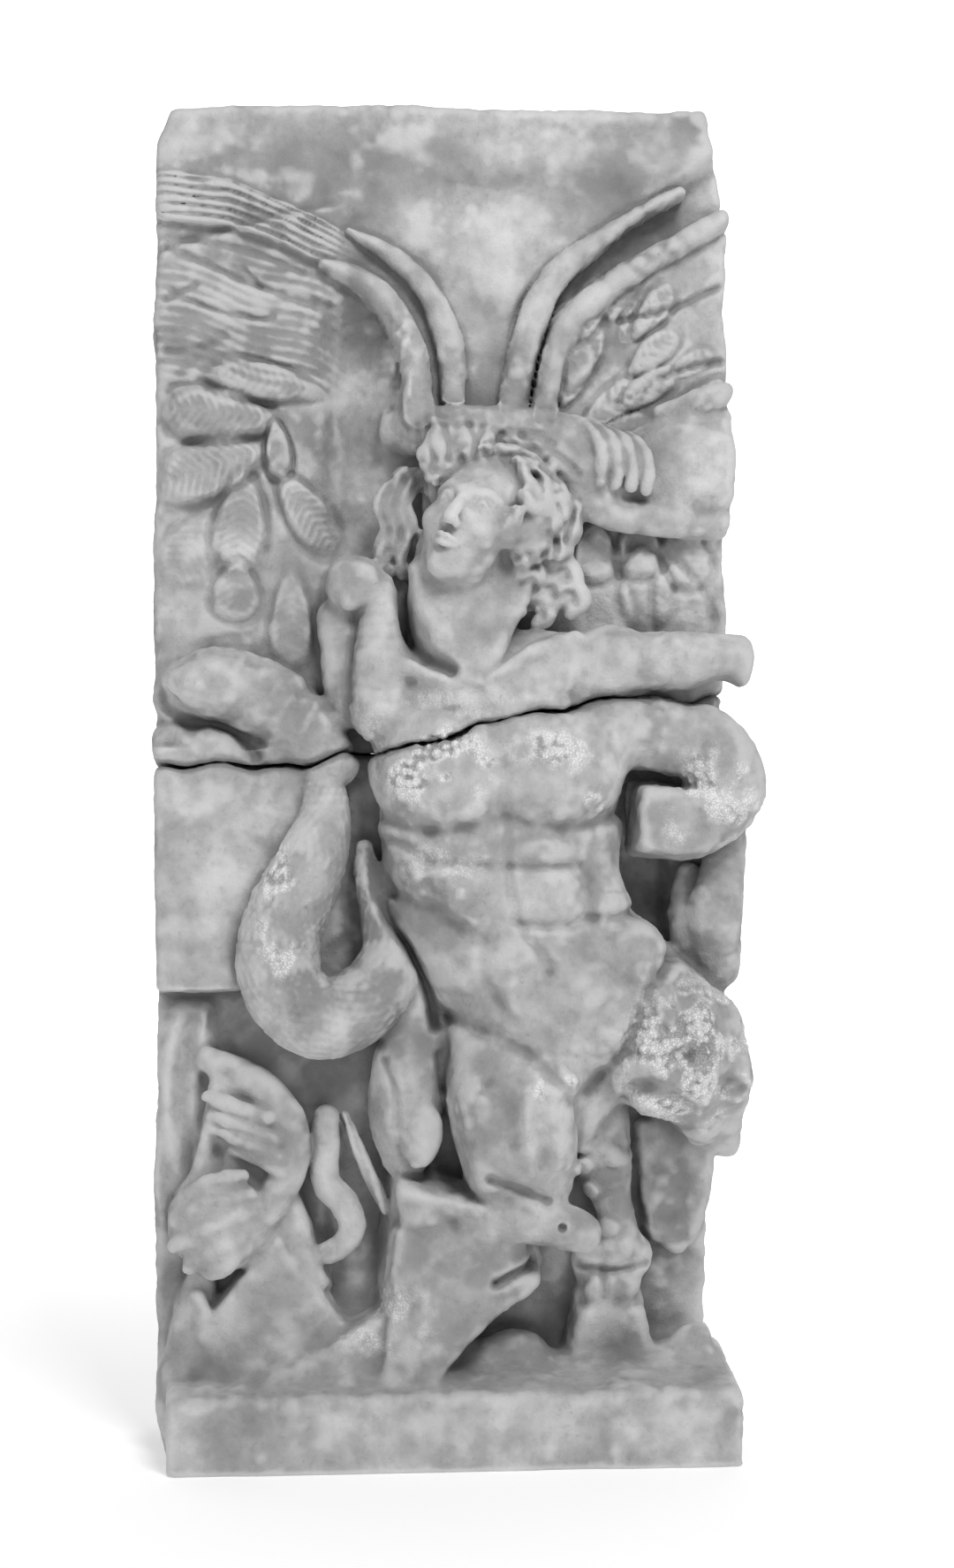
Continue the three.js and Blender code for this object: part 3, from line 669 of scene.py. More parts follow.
def head(clay):
    turn = headAxes()
    centre = spot(*headFrame["centre"])

    scale = headFrame["scale"]

    def point(across, up, out):
        return centre + scale * (turn[0] * across + turn[1] * up + turn[2] * out)

    def ball(across, up, out, radii, blend=0.008, carve=False):
        clay.ball(point(across, up, out), [scale * r for r in radii], turn, blend, carve)

    def limb(points, radii, blend=0.005, carve=False, skin=None):
        clay.limb([point(*p) for p in points], [scale * r for r in radii], blend, 1.0, carve, skin, 6)

    ball(0, 0.036, -0.020, (0.080, 0.088, 0.098), 0.02)  # skull
    ball(0, -0.010, 0.030, (0.066, 0.086, 0.060), 0.02)  # face
    ball(0, -0.064, 0.026, (0.054, 0.046, 0.054), 0.018)  # jaw
    ball(0, -0.096, 0.058, (0.022, 0.017, 0.020), 0.018)  # chin
    for side in (-1, 1):
        ball(side * 0.042, -0.030, 0.056, (0.022, 0.022, 0.022), 0.014)
        limb([(side * 0.054, 0.014, 0.058), (side * 0.034, 0.024, 0.074), (side * 0.010, 0.018, 0.086)],
             [0.006, 0.007, 0.007], 0.012)
        ball(side * 0.031, 0.000, 0.092, (0.019, 0.011, 0.013), 0.008, True)
        ball(side * 0.031, -0.001, 0.070, (0.0140, 0.0120, 0.0140), 0.002)
        limb([(side * 0.017, -0.003, 0.080), (side * 0.031, 0.009, 0.084), (side * 0.047, -0.001, 0.070)],
             [0.0028, 0.0034, 0.0030], 0.004)
        limb([(side * 0.018, -0.005, 0.080), (side * 0.031, -0.011, 0.081), (side * 0.046, -0.004, 0.071)],
             [0.0022, 0.0026, 0.0022], 0.004)
        ball(side * 0.0105, -0.037, 0.090, (0.0070, 0.0070, 0.0090), 0.006)
    limb([(0, 0.022, 0.082), (0, -0.006, 0.094), (0, -0.030, 0.102)], [0.008, 0.0080, 0.0095], 0.010)
    ball(0, -0.034, 0.103, (0.0095, 0.0085, 0.0090), 0.006)
    limb([(-0.021, -0.0625, 0.080), (-0.007, -0.0590, 0.092), (0, -0.0600, 0.093), (0.007, -0.0590, 0.092),
          (0.021, -0.0625, 0.080)], [0.0030, 0.0048, 0.0042, 0.0048, 0.0030], 0.006)
    limb([(-0.017, -0.0670, 0.081), (0, -0.0710, 0.090), (0.017, -0.0670, 0.081)],
        [0.0034, 0.0058, 0.0034], 0.006)
    limb([(-0.022, -0.0640, 0.085), (0, -0.0645, 0.099), (0.022, -0.0640, 0.085)],
         [0.0018, 0.0022, 0.0018], 0.003, True)
    ball(0.078, -0.010, -0.010, (0.009, 0.027, 0.017), 0.006)
    ball(0.087, -0.008, -0.004, (0.005, 0.014, 0.009), 0.004, True)
    hair(limb, clay)


def strands(s, angle, radius):
    return 0.0020 * np.cos(3 * angle + 45 * s)


def hair(limb, clay):
    # locks combed back from the forehead over the crown, their ends curling
    pick = np.random.default_rng(4)
    for row, (out, reach, thick) in enumerate([(0.040, 0.072, 0.017), (0.002, 0.088, 0.021),
        (-0.040, 0.092, 0.024)]):
        count = 10
        for i in range(count):
            turn = math.radians(-100 + 220 * (i + 0.25 * pick.uniform(-1, 1)) / (count - 1))
            twist = 0.22 * pick.uniform(-1, 1) + 0.16
            points = []
            for k in range(5):
                angle = turn + twist * math.sin(k * 1.5)
                far = reach + (0.004, 0.010, 0.010, 0.004, -0.004)[k]
                points.append((
                    far * math.sin(angle), 0.034 + 0.98 * far * math.cos(angle), out + 0.018 - 0.018 * k))
            limb(points, [thick * 0.6, thick, thick * 1.1, thick, thick * 0.6], 0.013, False, strands)
    for i in range(34):
        turn = math.radians(-60 + 200 * pick.uniform(0, 1))
        near, curl = 0.092 + 0.070 * pick.uniform(0, 1), 0.5 * pick.uniform(-1, 1)
        line = [(0.060 + near * math.sin(turn + curl * k) * (1 + 0.10 * k),
            1.606 + near * math.cos(turn + curl * k)
                 * (1 + 0.10 * k)) for k in (0, 0.33, 0.66, 1)]
        clay.groove(line, 0.0065, 0.0055, 0.07)
    for i in range(5):  # short locks rising over the forearm
        x = -0.040 + 0.025 * i
        lean = 0.008 * pick.uniform(-1, 1)
        clay.limb(
            [spot(x + 0.004, 1.686, 0.092), spot(x - 0.004, 1.716, 0.098), spot(x + lean, 1.746, 0.092),
             spot(x + 0.008 + lean, 1.772 - 0.008 * (i % 2), 0.076)],
            [0.013, 0.016, 0.015, 0.010], 0.016)
    for i in range(2):  # loose locks beside the face
        x = -0.106 + 0.030 * i
        clay.limb(
            [spot(x + 0.026, 1.690, 0.040), spot(x - 0.006, 1.640, 0.050), spot(x + 0.008, 1.596, 0.046),
             spot(x - 0.008, 1.556, 0.038), spot(x, 1.520, 0.020)],
            [0.014, 0.019, 0.018, 0.016, 0.010], 0.018, 1.0, False, strands)
    for i in range(7):  # curls at the nape
        x = 0.120 + 0.034 * (i % 3) + 0.012 * (i // 3)
        z = 1.532 - 0.040 * (i // 3) - 0.010 * (i % 3)
        clay.limb(
            [spot(x - 0.016, z + 0.014, 0.070), spot(x + 0.006, z + 0.020, 0.086),
                spot(x + 0.020, z - 0.002, 0.088),
             spot(x + 0.004, z - 0.020, 0.084)],
            [0.015, 0.019, 0.018, 0.012], 0.010)
        clay.groove([(x - 0.016, z + 0.006), (x + 0.004, z + 0.012), (x + 0.012, z - 0.008)], 0.006, 0.005)
    for i in range(6):
        x = -0.056 + 0.022 * i
        clay.groove([(x, 1.768), (x + 0.006 * (-1) ** i, 1.736), (x + 0.006, 1.706)], 0.007, 0.005)
    for x in (-0.112, -0.090, -0.068):
        clay.groove([(x + 0.014, 1.680), (x - 0.004, 1.630), (x + 0.008, 1.580), (x - 0.004, 1.540)],
            0.007, 0.004, 0.03)


def legs(clay):
    # kneeling leg: the thigh comes forward and down to the knee
    clay.limb([spot(0.106, 0.740, 0.066), spot(0.100, 0.640, 0.086), spot(0.110, 0.560, 0.098),
        spot(0.130, 0.500, 0.098)],
              [0.108, 0.104, 0.096, 0.078], 0.022)
    clay.facets(spot(0.112, 0.570, 0.120), (0.14, 0.14, 0.16),
                [(1, 0.0, 0.1, 0.090), (-1, -0.20, 0.1, 0.094), (0.05, -0.1, 1, 0.074),
                    (0.3, -1, 0.1, 0.078), (0, 1, 0.2, 0.10),
                 (0, 0, -1, 0.10)], 0.030, 0.040)
    clay.groove([(0.058, 0.660), (0.082, 0.620), (0.098, 0.560)], 0.018, 0.010)
    clay.groove([(0.150, 0.660), (0.146, 0.600), (0.150, 0.540)], 0.014, 0.007)
    clay.groove([(0.120, 0.650), (0.118, 0.590), (0.126, 0.520)], 0.014, -0.008)
    clay.groove([(0.060, 0.502), (0.110, 0.484), (0.156, 0.462)], 0.010, 0.010)
    clay.limb([spot(0.216, 0.650, 0.060), spot(0.230, 0.600, 0.080), spot(0.224, 0.548, 0.070)],
              [0.016, 0.020, 0.016], 0.010)
    stump(clay)
    # the kneeling foot behind, its sole turned outwards
    clay.limb([spot(-0.030, 0.870, 0.010), spot(-0.046, 0.760, 0.026), spot(-0.066, 0.670, 0.038),
        spot(-0.076, 0.600, 0.044),
               spot(-0.074, 0.530, 0.040)], [0.050, 0.060, 0.064, 0.062, 0.044], 0.012)
    clay.ball(spot(-0.050, 0.566, 0.094), (0.034, 0.056, 0.030), leaning(8), 0.014)
    clay.groove([(-0.110, 0.690), (-0.094, 0.640), (-0.092, 0.580)], 0.008, 0.006)
    clay.groove([(-0.020, 0.700), (-0.014, 0.640)], 0.008, 0.006)
    # the weathered shin and foot in the background
    clay.limb([spot(0.256, 0.620, 0.000), spot(0.262, 0.540, 0.014), spot(0.286, 0.440, 0.016),
        spot(0.298, 0.372, 0.020)],
              [0.054, 0.054, 0.034, 0.036], 0.02)
    clay.limb([spot(0.256, 0.340, 0.006), spot(0.320, 0.344, 0.010)], [0.042, 0.036], 0.02)
    clay.facets(spot(0.280, 0.290, 0.010), (0.12, 0.12, 0.14),
                [(1, 0.2, 0.1, 0.052), (-1, 0.2, 0.1, 0.050), (0, 1, 0.3, 0.040), (0, -0.2, 1, 0.046),
                    (0, -1, 0, 0.13),
                 (0, 0, -1, 0.06)], 0.016, 0.022)
    clay.groove([(0.224, 0.332), (0.280, 0.326), (0.340, 0.334)], 0.007, 0.009, 0.03)
    clay.groove([(0.266, 0.326), (0.268, 0.280)], 0.008, 0.008, 0.03)
    clay.groove([(0.220, 0.272), (0.280, 0.268), (0.340, 0.276)], 0.014, 0.010, 0.03)
    for across, up, half in ((0.226, 0.506, 0.020), (0.240, 0.462, 0.018), (0.290, 0.520, 0.022),
        (0.276, 0.400, 0.018)):
        clay.swell(across, up, half, half * 0.8, 0.010, 20, 2.0, 0.03)
    # the fall of cloth at the right edge
    clay.facets(
        spot(0.392, 0.470, -0.010), (0.12, 0.12, 0.18),
        [(1.0, -0.10, 0.1, 0.056), (-1.0, -0.10, 0.2, 0.056), (0.45, -0.9, 0.1, 0.106),
            (-0.5, -0.8, 0.1, 0.104),
         (0, 1, 0, 0.11), (0.1, 0, 1, 0.022), (0, 0, -1, 0.06)], 0.016, 0.020)
    clay.limb([spot(0.420, 0.580, 0.000), spot(0.438, 0.500, 0.010), spot(0.432, 0.430, 0.010),
        spot(0.400, 0.362, 0.004)],
              [0.014, 0.020, 0.018, 0.012], 0.024)


def stump(clay):
    # the other thigh, broken off; its end is rough and faceted
    clay.facets(
        spot(0.384, 0.712, 0.070), (0.26, 0.26, 0.26),
        [(0.66, 0.74, 0.12, 0.118), (1.0, 0.0, 0.10, 0.118), (-0.52, -0.84, 0.05, 0.118),
            (-0.2, 0.1, 1.0, 0.096),
         (0.5, 0.30, 0.9, 0.098), (0.3, -0.8, 0.8, 0.116), (-1.0, 0.1, 0.1, 0.150), (0, 0, -1, 0.09)],
        0.020, 0.020)
    clay.limb([spot(0.250, 0.790, 0.064), spot(0.320, 0.740, 0.082), spot(0.390, 0.690, 0.080)],
              [0.096, 0.108, 0.096], 0.026)
    pick = np.random.default_rng(12)
    for i in range(60):  # the broken surface, lump by lump
        along, off = pick.uniform(0, 1), pick.uniform(-1, 1)
        across, up = 0.290 + 0.180 * along + 0.060 * off, 0.790 - 0.170 * along + 0.085 * off
        size = 0.014 + 0.020 * pick.uniform(0, 1)
        clay.swell(across, up, size * 1.8, size, 0.010 * pick.uniform(-0.8, 1), 90 * pick.uniform(-1, 1), 2.0)


def cloak(clay):
    # spread over the rock under the knee, with a straight lower right edge
    clay.facets(
        spot(0.010, 0.330, 0.030), (0.30, 0.24, 0.34),
        [(0.70, -0.71, 0.12, 0.106), (-1.0, 0.10, 0.12, 0.118), (0.30, 1.0, 0.30, 0.136),
            (0.95, 0.25, 0.2, 0.140),
         (-0.20, 0.10, 1.0, 0.104), (0.22, -0.06, 1.0, 0.106), (0.0, -1.0, 0.1, 0.21), (0, 0, -1, 0.09)],
        0.016, 0.014)
    clay.groove([(0.150, 0.352), (0.110, 0.336), (0.074, 0.318)], 0.008, 0.022)
    clay.swell(0.116, 0.316, 0.040, 0.034, 0.012, 0, 2.0)
    clay.groove([(-0.080, 0.472), (-0.020, 0.460), (0.040, 0.452), (0.100, 0.440)], 0.016, -0.016)
    clay.groove([(-0.070, 0.330), (-0.020, 0.370), (0.040, 0.400), (0.090, 0.404)], 0.020, -0.010)
    clay.groove([(-0.100, 0.430), (-0.060, 0.400), (0.000, 0.420)], 0.014, 0.010)
    clay.groove([(-0.020, 0.300), (0.020, 0.260)], 0.020, 0.006)


def rocks(clay):
    clay.facets(
        spot(-0.290, 0.240, 0.010), (0.24, 0.20, 0.28),
        [(-0.78, 0.62, 0.10, 0.104), (0.80, 0.60, 0.12, 0.094), (-0.30, 0.15, 1.0, 0.072),
         (0.36, 0.16, 1.0, 0.074), (0, -1, 0, 0.2), (0, 0, -1, 0.06)],
        0.014, 0.012)
    clay.facets(
        spot(-0.110, 0.180, 0.020), (0.24, 0.20, 0.22),
        [(-0.4, 0.9, 0.1, 0.080), (0.6, 0.7, 0.2, 0.070), (0.1, 0.3, 1.0, 0.084), (1, 0, 0, 0.2),
         (-1, 0, 0, 0.2), (0, -1, 0, 0.2), (0, 0, -1, 0.06)],
        0.020, 0.016)
    pick = np.random.default_rng(6)
    for i in range(16):  # rubble where the ground meets the ledge
        across = -0.46 + 0.92 * (i + 0.4 * pick.uniform(-1, 1)) / 15
        size = 0.030 + 0.022 * pick.uniform(0, 1)
        clay.ball(spot(across, 0.160 + 0.030 * pick.uniform(-1, 1), 0.004), (size * 1.6, size, size),
                  leaning(30 * pick.uniform(-1, 1)), 0.022)
    clay.ball(spot(-0.440, 0.200, 0.000), (0.040, 0.150, 0.044), leaning(8), 0.02)
    clay.limb([spot(-0.426, 0.290, 0.040), spot(-0.410, 0.230, 0.048), spot(-0.400, 0.180, 0.040)],
              [0.010, 0.014, 0.010], 0.014)


# the serpent
def scales(s, angle, radius):
    # rows of rounded scales, each row set half a scale on from the last
    across = angle * radius / 0.017
    row = s / 0.014
    shift = 0.5 * (np.floor(row) % 2)
    u = (across + shift) % 1.0 - 0.5
    v = row % 1.0
    dome = np.sqrt(np.maximum(1 - (2 * u) ** 2, 0)) * (1 - 0.7 * v)
    return 0.0030 * dome - 0.0010


def serpent(clay):
    # the part above the break, laid across the left edge
    clay.limb(
        [spot(-0.446, 1.312, 0.000), spot(-0.390, 1.318, 0.010), spot(-0.320, 1.300, 0.020),
            spot(-0.262, 1.266, 0.026),
         spot(-0.206, 1.200, 0.030)],
        [0.060, 0.074, 0.074, 0.066, 0.052], 0.014)
    clay.ball(spot(-0.404, 1.328, 0.060), (0.082, 0.042, 0.034), leaning(-4), 0.016)
    clay.limb([spot(-0.462, 1.226, 0.000), spot(-0.400, 1.216, 0.016), spot(-0.330, 1.204, 0.010)],
              [0.046, 0.058, 0.046], 0.008)
    clay.groove([(-0.510, 1.330), (-0.450, 1.274), (-0.380, 1.256), (-0.330, 1.210)], 0.014, 0.026, 0.02)
    pick = np.random.default_rng(8)
    for i in range(26):
        clay.swell(-0.500 + 0.290 * pick.uniform(0, 1), 1.290 + 0.085 * pick.uniform(-1, 1),
            0.036 + 0.02 * pick.uniform(-1, 1),
                   0.018, 0.010 * pick.uniform(-1, 0.8), 60 * pick.uniform(-1, 1), 2.0, 0.03)
    clay.limb(
        [spot(-0.219, 1.190, 0.036), spot(-0.213, 1.098, 0.046), spot(-0.240, 1.016, 0.056),
            spot(-0.273, 0.949, 0.060),
         spot(-0.293, 0.875, 0.062), spot(-0.276, 0.802, 0.064), spot(-0.210, 0.764, 0.066),
         spot(-0.134, 0.800, 0.062),
         spot(-0.099, 0.867, 0.054), spot(-0.115, 0.934, 0.040), spot(-0.135, 0.994, 0.030),
         spot(-0.145, 1.050, 0.020)],
        [0.030, 0.046, 0.061, 0.067, 0.069, 0.070, 0.069, 0.062, 0.050, 0.036, 0.024, 0.014], 0.006, 1.0,
        False, scales, 7)
    # the second coil, worn rough, its end broken square
    clay.limb(
        [spot(0.256, 1.246, 0.052), spot(0.350, 1.244, 0.066), spot(0.440, 1.220, 0.074),
            spot(0.474, 1.156, 0.074),
         spot(0.436, 1.104, 0.074), spot(0.390, 1.094, 0.070)],
        [0.054, 0.062, 0.070, 0.066, 0.062, 0.058], 0.014)
    clay.facets(
        spot(0.392, 1.096, 0.060), (0.16, 0.20, 0.16),
        [(-1, 0, 0.1, 0.080), (1, 0, 0, 0.060), (0.1, 1, 0.1, 0.060), (-0.1, -1, 0.1, 0.062),
            (0.5, -0.8, 0.1, 0.070),
         (0.06, 0.1, 1, 0.070), (0, 0, -1, 0.06)],
        0.016, 0.016)
    clay.limb([spot(0.318, 1.190, 0.120), spot(0.356, 1.184, 0.144), spot(0.392, 1.176, 0.150)],
              [0.026, 0.020, 0.008], 0.010, 1.0, True)
    # a worn fin at the left, ribbed and curled over
    clay.facets(
        spot(-0.360, 0.520, 0.000), (0.16, 0.14, 0.24),
        [(1, 0.35, 0.1, 0.080), (-1, 0.2, 0.1, 0.074), (0.1, 1, 0.1, 0.150), (-0.3, -1, 0.1, 0.170),
            (0, 0, 1, 0.050),
         (0, 0, -1, 0.05)], 0.014, 0.020)
    clay.limb(
        [spot(-0.410, 0.690, 0.012), spot(-0.350, 0.662, 0.030), spot(-0.296, 0.616, 0.044),
            spot(-0.268, 0.560, 0.050),
         spot(-0.276, 0.500, 0.052), spot(-0.310, 0.440, 0.050), spot(-0.350, 0.384, 0.044)],
        [0.022, 0.030, 0.033, 0.033, 0.031, 0.030, 0.024], 0.014)
    for near, middle, far in (
        ((-0.412, 0.630), (-0.366, 0.616), (-0.310, 0.596)),
        ((-0.404, 0.600), (-0.356, 0.586), (-0.296, 0.560)),
        ((-0.394, 0.572), (-0.350, 0.556), (-0.292, 0.532)),
        ((-0.366, 0.540), (-0.330, 0.528), (-0.290, 0.508)),
    ):
        clay.limb([spot(*near, 0.048), spot(*middle, 0.064), spot(*far, 0.074)], [0.009, 0.013, 0.012], 0.010)
    clay.ball(spot(-0.390, 0.420, 0.030), (0.090, 0.090, 0.060), leaning(20), 0.012)
    for near, middle, far in (
        ((-0.350, 0.500), (-0.400, 0.492), (-0.444, 0.462)),
        ((-0.340, 0.468), (-0.400, 0.460), (-0.462, 0.422)),
        ((-0.336, 0.436), (-0.396, 0.420), (-0.464, 0.380)),
        ((-0.340, 0.404), (-0.392, 0.380), (-0.440, 0.346)),
        ((-0.350, 0.374), (-0.380, 0.350), (-0.404, 0.334)),
    ):
        clay.limb([spot(*near, 0.072), spot(*middle, 0.086), spot(*far, 0.062)], [0.011, 0.017, 0.014], 0.018)
    clay.swell(-0.396, 0.534, 0.014, 0.024, -0.020, 0, 1.0, 0.03)
    # tail
    clay.limb(
        [spot(-0.208, 0.590, 0.016), spot(-0.213, 0.540, 0.030), spot(-0.210, 0.484, 0.034),
            spot(-0.178, 0.446, 0.036),
         spot(-0.164, 0.408, 0.036), spot(-0.180, 0.374, 0.034), spot(-0.218, 0.358, 0.030),
         spot(-0.258, 0.356, 0.024)],
        [0.022, 0.027, 0.024, 0.024, 0.023, 0.022, 0.017, 0.010], 0.006)
    clay.limb([spot(-0.176, 0.590, 0.006), spot(-0.156, 0.540, 0.018), spot(-0.128, 0.480, 0.022),
        spot(-0.108, 0.430, 0.016)],
              [0.008, 0.010, 0.012, 0.008], 0.008, 1.0, False, strands)
    # small head laid by the knee, its eye drilled
    clay.limb([spot(0.090, 0.436, 0.120), spot(0.150, 0.424, 0.136), spot(0.206, 0.410, 0.140)],
              [0.044, 0.042, 0.036], 0.020)
    clay.ball(spot(0.226, 0.404, 0.134), (0.026, 0.030, 0.030), upright, 0.012)
    clay.ball(spot(0.180, 0.419, 0.178), (0.007, 0.007, 0.014), upright, 0.004, True)
    # remnant of a drape behind the coil
    clay.limb([spot(0.496, 1.080, 0.006), spot(0.474, 1.000, 0.018), spot(0.462, 0.920, 0.020),
        spot(0.472, 0.840, 0.004)],
              [0.026, 0.040, 0.048, 0.036], 0.014)
    clay.limb([spot(0.424, 1.000, -0.020), spot(0.420, 0.920, -0.006), spot(0.440, 0.850, -0.010)],
              [0.024, 0.034, 0.026], 0.014)


def sculpt(clay):
    block(clay)
    forearm(clay)
    rocks(clay)
    cloak(clay)
    trim(clay)
    ledge(clay)
    serpent(clay)
    legs(clay)
    trunk(clay)
    neckAndShoulders(clay)
    arms(clay)
    head(clay)
    # nothing of the forms stands behind the flat back or under the flat underside
    y, z = clay.axes[1][None, :, None], clay.axes[2][None, None, :]
    clay.dist = np.maximum(np.maximum(clay.dist, y - slab["back"]), -z)


def breakAcross(clay, upper):
    x, y, z = clay.axes
    height = breakHeight(
        x[:, None].astype(float) + 0 * y[None, :], y[None, :].astype(float) + 0 * x[:, None], upper)
    height = height.astype(np.float32)[:, :, None]
    wear_and_painted_highlight = 0.018
    gap = (0.0020 * soft(-y, -0.03, 0.02))[None, :, None] + 0.0001
    if upper:
        side = height + gap - z[None, None, :]
    else:
        side = z[None, None, :] - height + gap
    clay.dist = -blended(-clay.dist, -side, wear_and_painted_highlight)


def boxBlur(values, radius):
    # mean over a cube, by running sums along each axis
    for axis in range(3):
        padded = np.concatenate([
            np.repeat(values.take([0], axis), radius + 1, axis), values,
            np.repeat(values.take([-1], axis), radius, axis)], axis)
        total = np.cumsum(padded, axis, dtype=np.float32)
        count = values.shape[axis]
        width = 2 * radius + 1
        upper = total.take(np.arange(width, width + count), axis)
        lower = total.take(np.arange(0, count), axis)
        values = (upper - lower) / width
    return values


def sampled(clay, values, points):
    places = (points - clay.low) / clay.step
    cells = np.clip(np.floor(places).astype(int), 0, np.array(values.shape) - 2)
    parts = places - cells
    total = np.zeros(len(points))
    for corner in range(8):
        step = np.array([(corner >> i) & 1 for i in range(3)])
        weight = np.where(step, parts, 1 - parts).prod(1)
        i, j, k = (cells + step).T
        total += weight * values[i, j, k]
    return total


def meshOf(name, clay):
    grid = vdb.FloatGrid(clay.step * 3)
    grid.copyFromArray(np.clip(clay.dist, -clay.step * 3, clay.step * 3).astype(np.float32))
    points, quads = grid.convertToQuads(0.0)
    points = points * clay.step + clay.low
    mesh = bpy.data.meshes.new(name)
    mesh.vertices.add(len(points))
    mesh.vertices.foreach_set("co", points.astype(np.float32).ravel())
    mesh.loops.add(quads.size)
    mesh.loops.foreach_set("vertex_index", quads.astype(np.int32).ravel())
    mesh.polygons.add(len(quads))
    mesh.polygons.foreach_set("loop_start", np.arange(0, quads.size, 4, dtype=np.int32))
    mesh.update(calc_edges=True)
    mesh.validate()
    return mesh


def pointsOf(mesh):
    points = np.empty(len(mesh.vertices) * 3, np.float32)
    mesh.vertices.foreach_get("co", points)
    return points.reshape(-1, 3).astype(float)


def normalsOf(mesh):
    normals = np.empty(len(mesh.vertices) * 3, np.float32)
    mesh.vertex_normals.foreach_get("vector", normals)
    return normals.reshape(-1, 3).astype(float)


def crystals(points, size):
    # distance to the nearest of the seeded grains, as a share of their size
    cells = np.floor(points / size).astype(np.int64)
    parts = points / size - cells
    nearest = np.full(len(points), 9.0)
    table = np.random.default_rng(5).uniform(0.1, 0.9, (24, 24, 24, 3)).astype(np.float32)
    for i in (-1, 0, 1):
        for j in (-1, 0, 1):
            for k in (-1, 0, 1):
                a, b, c = (cells + (i, j, k)).T % 24
                away = table[a, b, c] + (i, j, k) - parts
                nearest = np.minimum(nearest, (away ** 2).sum(1))
    return np.sqrt(nearest)


def rawness(points):
    # where the stone is broken down to its coarse crystals
    x, y, z = points[:, 0] - datum[0], points[:, 1], points[:, 2] - datum[1]
    patches = [  # across, up, half width, half height, strength
        (-0.030, 1.190, 0.085, 0.062, 1.0), (0.160, 1.215, 0.070, 0.040, 0.6),
        (0.236, 1.130, 0.020, 0.020, 0.6),
        (-0.010, 1.020, 0.080, 0.050, 0.35), (-0.285, 0.940, 0.040, 0.110, 0.8),
        (0.400, 0.700, 0.110, 0.120, 0.9),
        (0.440, 1.130, 0.100, 0.090, 0.55), (0.170, 0.650, 0.040, 0.030, 0.8),
        (-0.100, 1.230, 0.060, 0.060, 0.4),
        (0.000, 1.290, 0.200, 0.030, 0.3), (-0.120, 0.260, 0.090, 0.060, 0.4),
        (0.300, 1.340, 0.060, 0.030, 0.4),
    ]
    mask = np.zeros(len(points))
    for across, up, half, tall, strength in patches:
        reach = ((x - across) / half) ** 2 + ((z - up) / tall) ** 2
        mask = np.maximum(mask, strength * np.exp(-reach * reach * 0.7))
    ragged = stoneGrit.layered(points[:, 0], points[:, 1], points[:, 2], 0.05, 3)
    return mask * soft(ragged, -0.5, 0.3) * soft(-y, 0.02, 0.05)


def stains_and_painted_light(points):
    # broad stains together with painted shade in recesses and painted highlights on lit forms: above nought
    # darker, below paler
    x, z = points[:, 0] - datum[0], points[:, 2] - datum[1]
    patches = [  # across, up, half width, half height, strength
        (0.000, 2.200, 0.500, 0.090, 0.55), (-0.330, 1.900, 0.180, 0.220, 0.95),
        (-0.200, 0.860, 0.120, 0.110, 1.00),
        (0.000, 0.060, 0.600, 0.070, -0.25),
        (-0.270, 1.440, 0.160, 0.120, 0.30), (-0.430, 1.000, 0.070, 0.200, 0.20),
        (0.080, 1.200, 0.200, 0.080, -0.30),
        (-0.160, 1.800, 0.055, 0.170, 0.9), (-0.060, 1.690, 0.040, 0.060, 0.7),
        (0.160, 2.220, 0.100, 0.030, 0.4),
        (-0.120, 2.200, 0.100, 0.040, 0.4), (0.300, 2.190, 0.080, 0.035, 0.4),
        (-0.020, 2.020, 0.030, 0.090, 0.4),
        (0.270, 2.060, 0.090, 0.060, 0.4), (-0.090, 1.000, 0.060, 0.100, 0.5),
        (-0.020, 0.930, 0.050, 0.045, 0.6),
        (-0.190, 0.640, 0.130, 0.060, 0.6), (0.150, 0.190, 0.260, 0.050, 0.6),
        (-0.280, 0.280, 0.080, 0.090, 0.6),
        (-0.060, 0.740, 0.050, 0.060, 0.6), (0.270, 0.500, 0.070, 0.110, 0.5),
        (0.380, 0.440, 0.060, 0.110, 0.4),
        (-0.180, 1.330, 0.035, 0.100, 0.6), (0.010, 0.330, 0.080, 0.090, 0.3),
        (0.400, 0.960, 0.060, 0.100, 0.5),
        (0.100, 2.080, 0.070, 0.180, -0.5), (0.410, 2.220, 0.060, 0.040, -0.5),
        (0.410, 1.690, 0.060, 0.050, -0.9),
        (0.400, 1.860, 0.040, 0.040, -0.6), (0.380, 1.380, 0.100, 0.030, -0.5),
        (-0.090, 1.950, 0.030, 0.060, -0.6),
        (-0.400, 1.760, 0.080, 0.070, -0.4), (-0.460, 1.500, 0.050, 0.110, -0.4),
        (0.200, 1.160, 0.070, 0.035, -0.6),
        (0.160, 1.000, 0.060, 0.080, -0.5), (0.160, 0.800, 0.100, 0.100, -0.3),
        (0.150, 0.550, 0.050, 0.080, -0.5),
        (-0.420, 1.050, 0.060, 0.110, -0.5), (-0.400, 1.330, 0.070, 0.040, -0.6),
        (0.010, 1.590, 0.050, 0.070, -0.5),
        (-0.110, 1.400, 0.030, 0.060, -0.5), (-0.048, 0.560, 0.035, 0.055, -0.5),
        (0.160, 0.415, 0.080, 0.040, -0.5),
    ]
    mask = np.zeros(len(points))
    for across, up, half, tall, strength in patches:
        reach = ((x - across) / half) ** 2 + ((z - up) / tall) ** 2
        mask = mask + strength * np.exp(-reach * 0.8)
    mask = mask + 0.25 * stoneGrit.layered(points[:, 0], points[:, 1], points[:, 2], 0.09, 3)
    return 0.5 + 0.5 * np.clip(mask, -1, 1) * soft(-points[:, 1], -0.06, 0.0)


